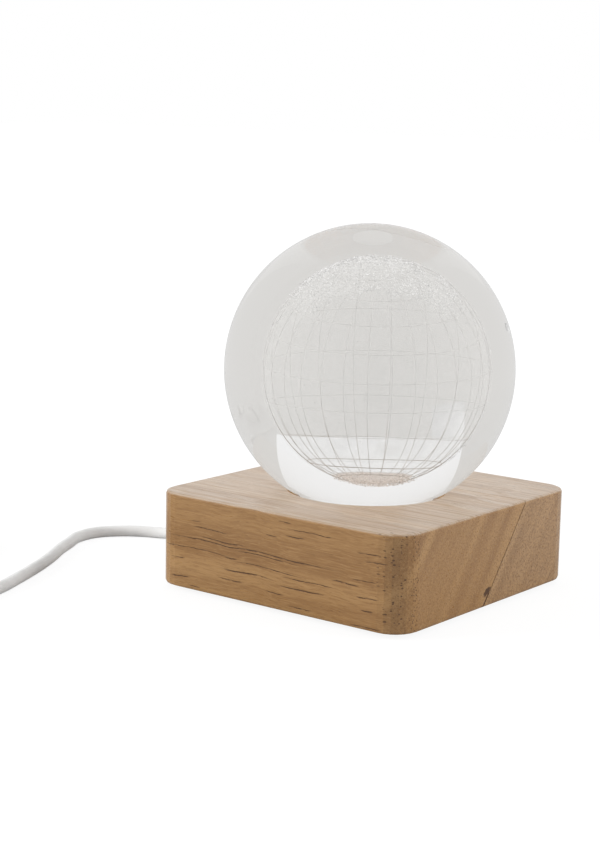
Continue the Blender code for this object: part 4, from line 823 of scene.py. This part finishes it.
def wood_look(name, wood):
    """Light open-pored wood: long pores and fibres along X, and leaning growth bands across them."""
    pale, tan, brown = wood["tones"]
    look = Look(name, tan, 0.3)
    x, y, z = look.parts()
    wave = look.noise(look.stretched(SWAY_PATTERN), detail=1)
    sway = look.times(look.math("SUBTRACT", wave, 0.5), SWAY_MM)
    up = look.math("ADD", z, sway)
    aside = look.math("ADD", y, sway)
    swayed = look.node("CombineXYZ", {0: x, 1: aside, 2: up})
    rising = look.times(look.math("SUBTRACT", z, BLOCK_LOW_MM), GLUE_SLOPE)
    across = look.math("SUBTRACT", aside, rising)
    banded = look.node("CombineXYZ", {0: look.times(x, 0.012), 1: across, 2: 0.0})
    growth = look.noise(banded, scale=0.14, detail=2, roughness=0.35)
    cloud = look.noise(look.stretched(CLOUD_PATTERN, swayed), detail=2)
    fibre = look.noise(look.stretched(FIBRE_PATTERN, swayed), detail=4, roughness=0.6)
    thread = look.noise(look.stretched(THREAD_PATTERN, swayed), detail=2, roughness=0.6)
    speckle = look.noise(look.stretched(wood["speckle_pattern"], swayed), detail=3, roughness=0.75)
    tone = look.mixed(look.smooth(growth, 0.36, 0.64, *wood["bands"]), brown, pale)
    tone = look.mixed(look.smooth(cloud, 0.30, 0.70, 0.15, 0.55), tone, tan)
    tone = look.mixed(look.smooth(fibre, 0.47, 0.72, 0.0, 0.40), tone, brown)
    tone = look.mixed(look.smooth(thread, 0.46, 0.70, 0.0, 0.65), tone, pale)
    plain, ending = wood["speckle_shares"]
    strong = look.math("ADD", plain, look.times(near_end(look, x, 4, 1), ending - plain))
    weak = look.times(strong, 0.9)
    tone = look.mixed(look.smooth(speckle, 0.49, 0.61, 0.0, strong), tone, brown)
    tone = look.mixed(look.smooth(speckle, 0.43, 0.33, 0.0, weak), tone, pale)
    if wood is MAIN_WOOD:
        dashes, streaks = pore_dashes(look, swayed, y, z), front_streaks(look, x, y, up)
        corner, chip = corner_pores(look, swayed, x, y), glue_chip(look, x, y, z)
        pores = look.math("MAXIMUM", dashes, streaks, corner, chip)
    else:
        pores = pore_dots(look, swayed, 0.30)
    # Painted sheen: the top face and its upper edge are painted paler, in patches that follow the fibres
    sheen_share = look.smooth(fibre, 0.38, 0.62, 0.66, 0.22)
    painted_sheen = look.times(near_top(look, z, 0.6, 0.15), sheen_share)
    tone = look.mixed(painted_sheen, tone, PAINTED_SHEEN_TOP)
    tone = look.mixed(pores, tone, wood["pore"])
    look.set("Base Color", painted_pale_in_glass(look, tone, z))
    gloss = look.smooth(fibre, 0.3, 0.8, 0.27, 0.38)
    look.set("Roughness", look.math("ADD", gloss, look.times(pores, 0.3), clamp=True))
    look.set("IOR", WOOD_IOR)
    look.set("Coat Weight", LACQUER)
    look.set("Coat Roughness", LACQUER_ROUGHNESS)
    relief = look.math("SUBTRACT", look.times(speckle, 0.3), pores)
    look.bump(relief, 0.30, 0.0001)
    return look.material


def scattered(look, place, first_share, size, softness):
    """Small marks at random places: the share of the cells that have none, and the marks' size."""
    cells = look.node("TexVoronoi", {"Vector": place, "Scale": 1.0}).node.outputs
    chance = look.node("SeparateXYZ", {0: cells["Color"]})
    reach = look.smooth(chance, first_share, 1.0, 0.0, size)
    return look.smooth(look.math("SUBTRACT", cells["Distance"], reach), -softness, softness, 1.0, 0.0)


def pore_dots(look, swayed, strength):
    """Fine short pores, which show as dots on the end grain."""
    dots = scattered(look, look.stretched(DOT_PATTERN, swayed), 0.3, 0.20, 0.05)
    return look.times(dots, strength)


def pore_dashes(look, swayed, y, z):
    """Thin dashes along the grain near the front, and fine dots elsewhere."""
    dashes = scattered(look, look.stretched(DASH_PATTERN, swayed), 0.30, 0.095, 0.03)
    below = near_top(look, z, 0, 2, 0.4, 0.85)
    strong = look.times(dashes, near_front(look, y, 6, 1), below)
    return look.math("MAXIMUM", strong, pore_dots(look, swayed, 0.25))


def corner_pores(look, swayed, x, y):
    """The dense dark pores of the early wood, cut across at the rounded front corner."""
    dots = scattered(look, look.stretched(CORNER_PATTERN, swayed), 0.15, 0.34, 0.07)
    return look.times(dots, near_front(look, y, 9.5, 6), near_end(look, x, 11, 5), 0.85)


def front_streaks(look, x, y, up):
    """The long dark pores that show on the front face, broken up along their length."""
    breakup = look.noise(look.stretched(BREAKUP_PATTERN), detail=3, roughness=0.6)
    broken = look.smooth(breakup, 0.32, 0.50, 0.45, 1.0)
    ragged = look.times(look.math("SUBTRACT", breakup, 0.5), 0.6)
    level = look.math("ADD", look.math("SUBTRACT", up, BLOCK_LOW_MM), ragged)
    total = 0.0
    for middle, height, length, thickness in FRONT_STREAKS_MM:
        thin = look.smooth(look.apart(level, height), thickness * 0.25, thickness * 0.8, 1.0, 0.0)
        within = look.smooth(look.apart(x, middle), length * 0.25, length * 0.5, 1.0, 0.0)
        total = look.math("MAXIMUM", total, look.times(thin, within))
    return look.times(total, broken, near_front(look, y, 5, 2))


def glue_chip(look, x, y, z):
    """On the end grain: the dark glue line, a chip beside it, and the gap that runs down from it."""
    height = look.math("SUBTRACT", z, BLOCK_LOW_MM)
    glue = look.math("ADD", look.times(height, GLUE_SLOPE), GLUE_UNDER_MM)
    beside = look.math("SUBTRACT", y, glue, -CHIP_OFFSET_MM)
    aside = look.math("DIVIDE", beside, CHIP_HALF_MM[0])
    above = look.math("DIVIDE", look.math("SUBTRACT", height, CHIP_HEIGHT_MM), CHIP_HALF_MM[1])
    ragged = look.times(look.noise(look.place, scale=1.1, detail=3), CHIP_RAGGED)
    blot = look.smooth(look.math("ADD", look.distance(aside, above), ragged), *CHIP_EDGE, 1.0, 0.0)
    off = look.apart(y, glue)
    gap = look.smooth(off, *GLUE_GAP_MM, 1.0, 0.0)
    foot = look.smooth(height, CHIP_HEIGHT_MM - 0.6, CHIP_HEIGHT_MM, 1.0, 0.0)
    seam = look.smooth(off, *GLUE_SEAM_MM, GLUE_SEAM_SHARE, 0.0)
    dark = look.math("MAXIMUM", blot, look.times(gap, foot), seam)
    return look.times(dark, near_end(look, x, 2.5, 1.5))


def painted_pale_in_glass(look, tone, z):
    """Painted light: where the ball or a gloss shows the top of the base, it is painted about as pale as
    the studio.
    """
    top = near_top(look, z, 1.5, 0.5, 0.0, 0.95)
    path = look.node("LightPath", {}).node.outputs
    mirrored = look.times(path["Is Glossy Ray"], 0.7)
    share = look.times(top, look.math("MAXIMUM", path["Is Transmission Ray"], mirrored))
    return look.mixed(share, tone, PAINTED_STUDIO_GREY)


def dress(look, *names):
    """Gives CAD nodes their finished material."""
    for name in names:
        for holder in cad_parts[name].material_slots:
            holder.material = look


def numbered(name, count):
    return [f"{name}_{i}" for i in range(1, count + 1)]


def board_look():
    """White board lacquer, with copper rings that show darker through it."""
    lacquer, darker = (0.74, 0.76, 0.74), (0.66, 0.70, 0.66)
    look = Look("board_lacquer", lacquer, 0.3)
    x, y, _ = look.parts()
    ring = look.math("PINGPONG", look.distance(x, y), 1.6)
    share = look.smooth(ring, 0.5, 0.7, 0.0, 0.7)
    look.set("Base Color", look.mixed(share, lacquer, darker))
    look.bump(share, 0.3, 0.00005)
    return look.material


def make_inner_lead(jacket, red, black):
    """The lead's end inside the base, with its two insulated wires, finer than the model's."""
    start, end = (Vector(corner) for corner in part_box("cord_inner_end"))
    axis_y, axis_z = (start.y + end.y) / 2, (start.z + end.z) / 2
    ends = [Vector((x, axis_y, axis_z)) for x in (start.x, end.x)]
    inner = tube("cord_inside", spaced(ends, CORD_POINT_SPACING), CORD_RADIUS, jacket, roundness=6)
    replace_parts(inner, "cord_inner_end")
    for name, side, look in (("wire_positive", 1, red), ("wire_negative", -1, black)):
        low, high = (Vector(corner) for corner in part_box(name))
        far = high.y - WIRE_RADIUS if side > 0 else low.y + WIRE_RADIUS
        near = side * WIRE_FROM_AXIS
        reach = high.x - WIRE_RADIUS
        route = [
            (low.x, near, axis_z),
            (low.x + WIRE_STRAIGHT, near, axis_z),
            ((low.x + reach) / 2, (near + far) / 2, axis_z - WIRE_RADIUS / 2),
            (reach - WIRE_STRAIGHT, far, axis_z),
            (reach - WIRE_LEAN, far, axis_z + (high.z - axis_z) / 3),
            (reach, far, high.z),
        ]
        way = spaced(smooth_curve(route), WIRE_POINT_SPACING)
        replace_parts(tube(name + "_insulation", way, WIRE_RADIUS, look), name)


def stage_material(name):
    """A studio material and its tree, in which only the output is left."""
    look = bpy.data.materials.new(name)
    look.use_nodes = True
    look.node_tree.nodes.remove(look.node_tree.nodes["Principled BSDF"])
    return look, look.node_tree


def glow(tree, strength, colour=WHITE):
    return add_node(tree, "Emission", {"Color": colour, "Strength": strength})


def between(value, start, end):
    """Inputs that give 0 to 1 while the value goes from start to end."""
    return {"Value": value, "From Min": start, "From Max": end}


def make_floor():
    """A white table: white with a faint shadow to the camera, and the studio's grey through glass."""
    bm = bmesh.new()
    bmesh.ops.create_grid(bm, x_segments=1, y_segments=1, size=FLOOR_HALF_SIZE)
    mesh = mesh_from(bm, "floor")
    new_object("floor", mesh)
    look, tree = stage_material("white_table")
    path = add_node(tree, "LightPath", {}).node.outputs
    plain = add_node(tree, "BsdfDiffuse", {"Color": FLOOR_COLOUR})
    shadowed = add_node(tree, "BsdfDiffuse", {"Color": FLOOR_SHADOW})
    place = add_node(tree, "TexCoord", {}, "Object")
    far = between(add_node(tree, "VectorMath", {0: place}, "Value", operation="LENGTH"), *SHADOW_REACH)
    whiter = add_node(tree, "MapRange", {**far, "To Min": FLOOR_GLOW, "To Max": SEEN_WHITE})
    seen = add_node(tree, "AddShader", {0: glow(tree, whiter), 1: shadowed})
    mirrored = {0: add_node(tree, "MapRange", far), 1: path["Is Glossy Ray"]}
    mirrored = add_node(tree, "Math", mirrored, operation="MULTIPLY")
    through = glow(tree, GLASS_GREY, GLASS_TINT)
    shown = add_node(tree, "MixShader", {0: mirrored, 1: plain, 2: glow(tree, GLOSS_WHITE)})
    shown = add_node(tree, "MixShader", {0: path["Is Transmission Ray"], 1: shown, 2: through})
    shown = add_node(tree, "MixShader", {0: path["Is Camera Ray"], 1: shown, 2: seen})
    tree.links.new(shown, tree.nodes["Material Output"].inputs[0])
    mesh.materials.append(look)


def make_world():
    """The studio all round: white to the camera and in reflections, pale grey through glass."""
    world = bpy.data.worlds.new("studio")
    bpy.context.scene.world = world
    world.use_nodes = True
    tree = world.node_tree
    tree.nodes.remove(tree.nodes["Background"])
    path = add_node(tree, "LightPath", {}).node.outputs
    level = add_node(tree, "Mix", {"Factor": path["Is Glossy Ray"], "A": FILL_LIGHT, "B": GLOSS_WHITE})
    level = add_node(tree, "Mix", {"Factor": path["Is Transmission Ray"], "A": level, "B": GLASS_GREY})
    level = add_node(tree, "Mix", {"Factor": path["Is Camera Ray"], "A": level, "B": SEEN_WHITE})
    tint = {0: path["Is Transmission Ray"], 6: WHITE, 7: GLASS_TINT}
    tint = add_node(tree, "Mix", tint, 2, data_type="RGBA")
    shown = add_node(tree, "Background", {"Color": tint, "Strength": level})
    tree.links.new(shown, tree.nodes["World Output"].inputs[0])


def make_panel(name, corners, strengths, leftward, upward):
    """A glowing white sheet, unseen by the camera itself, that grows brighter leftward and upward."""
    mesh = bpy.data.meshes.new(name)
    mesh.from_pydata([in_studio(*corner) for corner in corners], [], [tuple(range(len(corners)))])
    panel = new_object(name, mesh)
    panel.visible_camera = False
    panel.visible_shadow = False
    look, tree = stage_material(name)
    place = add_node(tree, "TexCoord", {}, "Object")
    left = {0: place, 1: in_studio(-1, 0, 0)}
    left = add_node(tree, "VectorMath", left, "Value", operation="DOT_PRODUCT")
    height = add_node(tree, "SeparateXYZ", {0: place}, "Z")
    aside = add_node(tree, "MapRange", between(left, *leftward))
    rise = add_node(tree, "MapRange", between(height, *upward))
    share = add_node(tree, "Math", {0: aside, 1: rise}, operation="MULTIPLY")
    strength = add_node(tree, "Mix", {"Factor": share, "A": strengths[0], "B": strengths[1]})
    tree.links.new(glow(tree, strength), tree.nodes["Material Output"].inputs[0])
    mesh.materials.append(look)


# The softbox behind the lamp, as the ball shows it upside down: right, away and up, in metres
SOFTBOX_CORNERS = (
    (0.445, 0.76, 0.255), (0.3, 0.792, 0.22), (0.129, 0.825, 0.183), (0.022, 0.833, 0.174),
    (-0.086, 0.83, 0.178), (-0.219, 0.809, 0.201), (-0.405, 0.75, 0.263), (-0.405, 0.4, 0.655),
    (0.445, 0.4, 0.655),
)
SOFTBOX_STRENGTHS = (0.86, 0.90)
SOFTBOX_RISE = (0.17, 0.27)
# All of it lies to the left of this span, so it is even from side to side
SOFTBOX_LEFTWARD = (-0.9, -0.8)
# A fainter pane under its left end
LOW_PANE_CORNERS = (
    (-0.219, 0.809, 0.201), (-0.222, 0.935, 0.065), (-0.43, 0.935, 0.065), (-0.405, 0.75, 0.263),
)
LOW_PANE_STRENGTHS = (GLASS_GREY, 0.90)
LOW_PANE_LEFTWARD = (0.19, 0.38)
LOW_PANE_RISE = (0.02, 0.18)


def make_lamp(name, place, watts):
    """A large soft lamp turned to the object, which the camera, gloss and glass don't show."""
    light = bpy.data.lights.new(name, "AREA")
    light.shape = "RECTANGLE"
    light.size, light.size_y = LAMP_SIZE
    light.energy = watts
    lamp = new_object(name, light)
    lamp.location = place
    lamp.rotation_euler = place.to_track_quat("Z", "Y").to_euler()
    lamp.visible_glossy = False
    lamp.visible_transmission = False
    lamp.visible_camera = False


def main():
    make_camera()
    cord_look = plastic("cord_jacket", (0.81, 0.81, 0.805), 0.48)
    first, second = make_cords(cord_look)
    strap = make_tie(plastic("strap_fabric", (0.045, 0.045, 0.05), 0.75, 0.5))
    cracks = crack_look("engraved_cracks", CRACK_PAINTED_GLOW, DULL_CRACK, BRIGHT_CRACK)[0].material
    make_ball(crystal_look(), line_look(), cracks, veil_look())
    dress(wood_look("main_wood", MAIN_WOOD), "base_main_stave")
    dress(wood_look("side_wood", SIDE_WOOD), "base_side_stave")
    dress(plastic("foot_rubber", (0.07, 0.07, 0.07), 0.8, 0.4), *numbered("foot", 4))
    dress(plastic("frosted_disc", (0.88, 0.88, 0.86), 0.55), "diffuser")
    white = plastic("moulded_white", (0.78, 0.78, 0.76), 0.38)
    dress(white, "reflector", "inner_tie", "switch_rocker")
    dress(board_look(), "led_board")
    dress(plastic("led_package_look", (0.86, 0.80, 0.52), 0.3), *numbered("led", 3))
    dress(plastic("resistor_look", (0.03, 0.03, 0.032), 0.35), "resistor")
    dress(plastic("dark_moulding", (0.05, 0.05, 0.052), 0.50), "bottom_cover", "plug_tongue")
    screws = numbered("cover_screw", 4) + numbered("board_screw", 2) + numbered("switch_screw", 2)
    dress(metal("screw_steel", (0.62, 0.62, 0.60), 0.30), *screws)
    dress(cord_look, "strain_relief", "switch_lower_housing", "switch_upper_housing", "plug_body")
    dress(metal("plated_steel", (0.70, 0.70, 0.69), 0.24, (0.2, 3, 3)), "plug_shell")
    brass = metal("brass_strip", (0.75, 0.56, 0.25), 0.3)
    dress(brass, *numbered("switch_terminal", 2), "switch_contact")
    dress(metal("gold_strip", (0.90, 0.68, 0.30), 0.22), *numbered("plug_contact", 4))
    red = plastic("red_jacket", (0.50, 0.04, 0.03))
    black = plastic("black_jacket", (0.02, 0.02, 0.02))
    make_inner_lead(cord_look, red, black)
    make_floor()
    make_world()
    make_panel("softbox", SOFTBOX_CORNERS, SOFTBOX_STRENGTHS, SOFTBOX_LEFTWARD, SOFTBOX_RISE)
    make_panel("low_pane", LOW_PANE_CORNERS, LOW_PANE_STRENGTHS, LOW_PANE_LEFTWARD, LOW_PANE_RISE)
    aside, nearer = LAMP_DISTANCE * sin(LAMP_ANGLE), -LAMP_DISTANCE * cos(LAMP_ANGLE)
    make_lamp("left_lamp", in_studio(-aside, nearer, LAMP_RISE), LEFT_LAMP_WATTS)
    make_lamp("right_lamp", in_studio(aside, nearer, LAMP_RISE), RIGHT_LAMP_WATTS)
    make_lamp("top_lamp", in_studio(0, 0, TOP_LAMP_HEIGHT), TOP_LAMP_WATTS)
    bpy.context.scene.view_settings.view_transform = "Standard"


main()
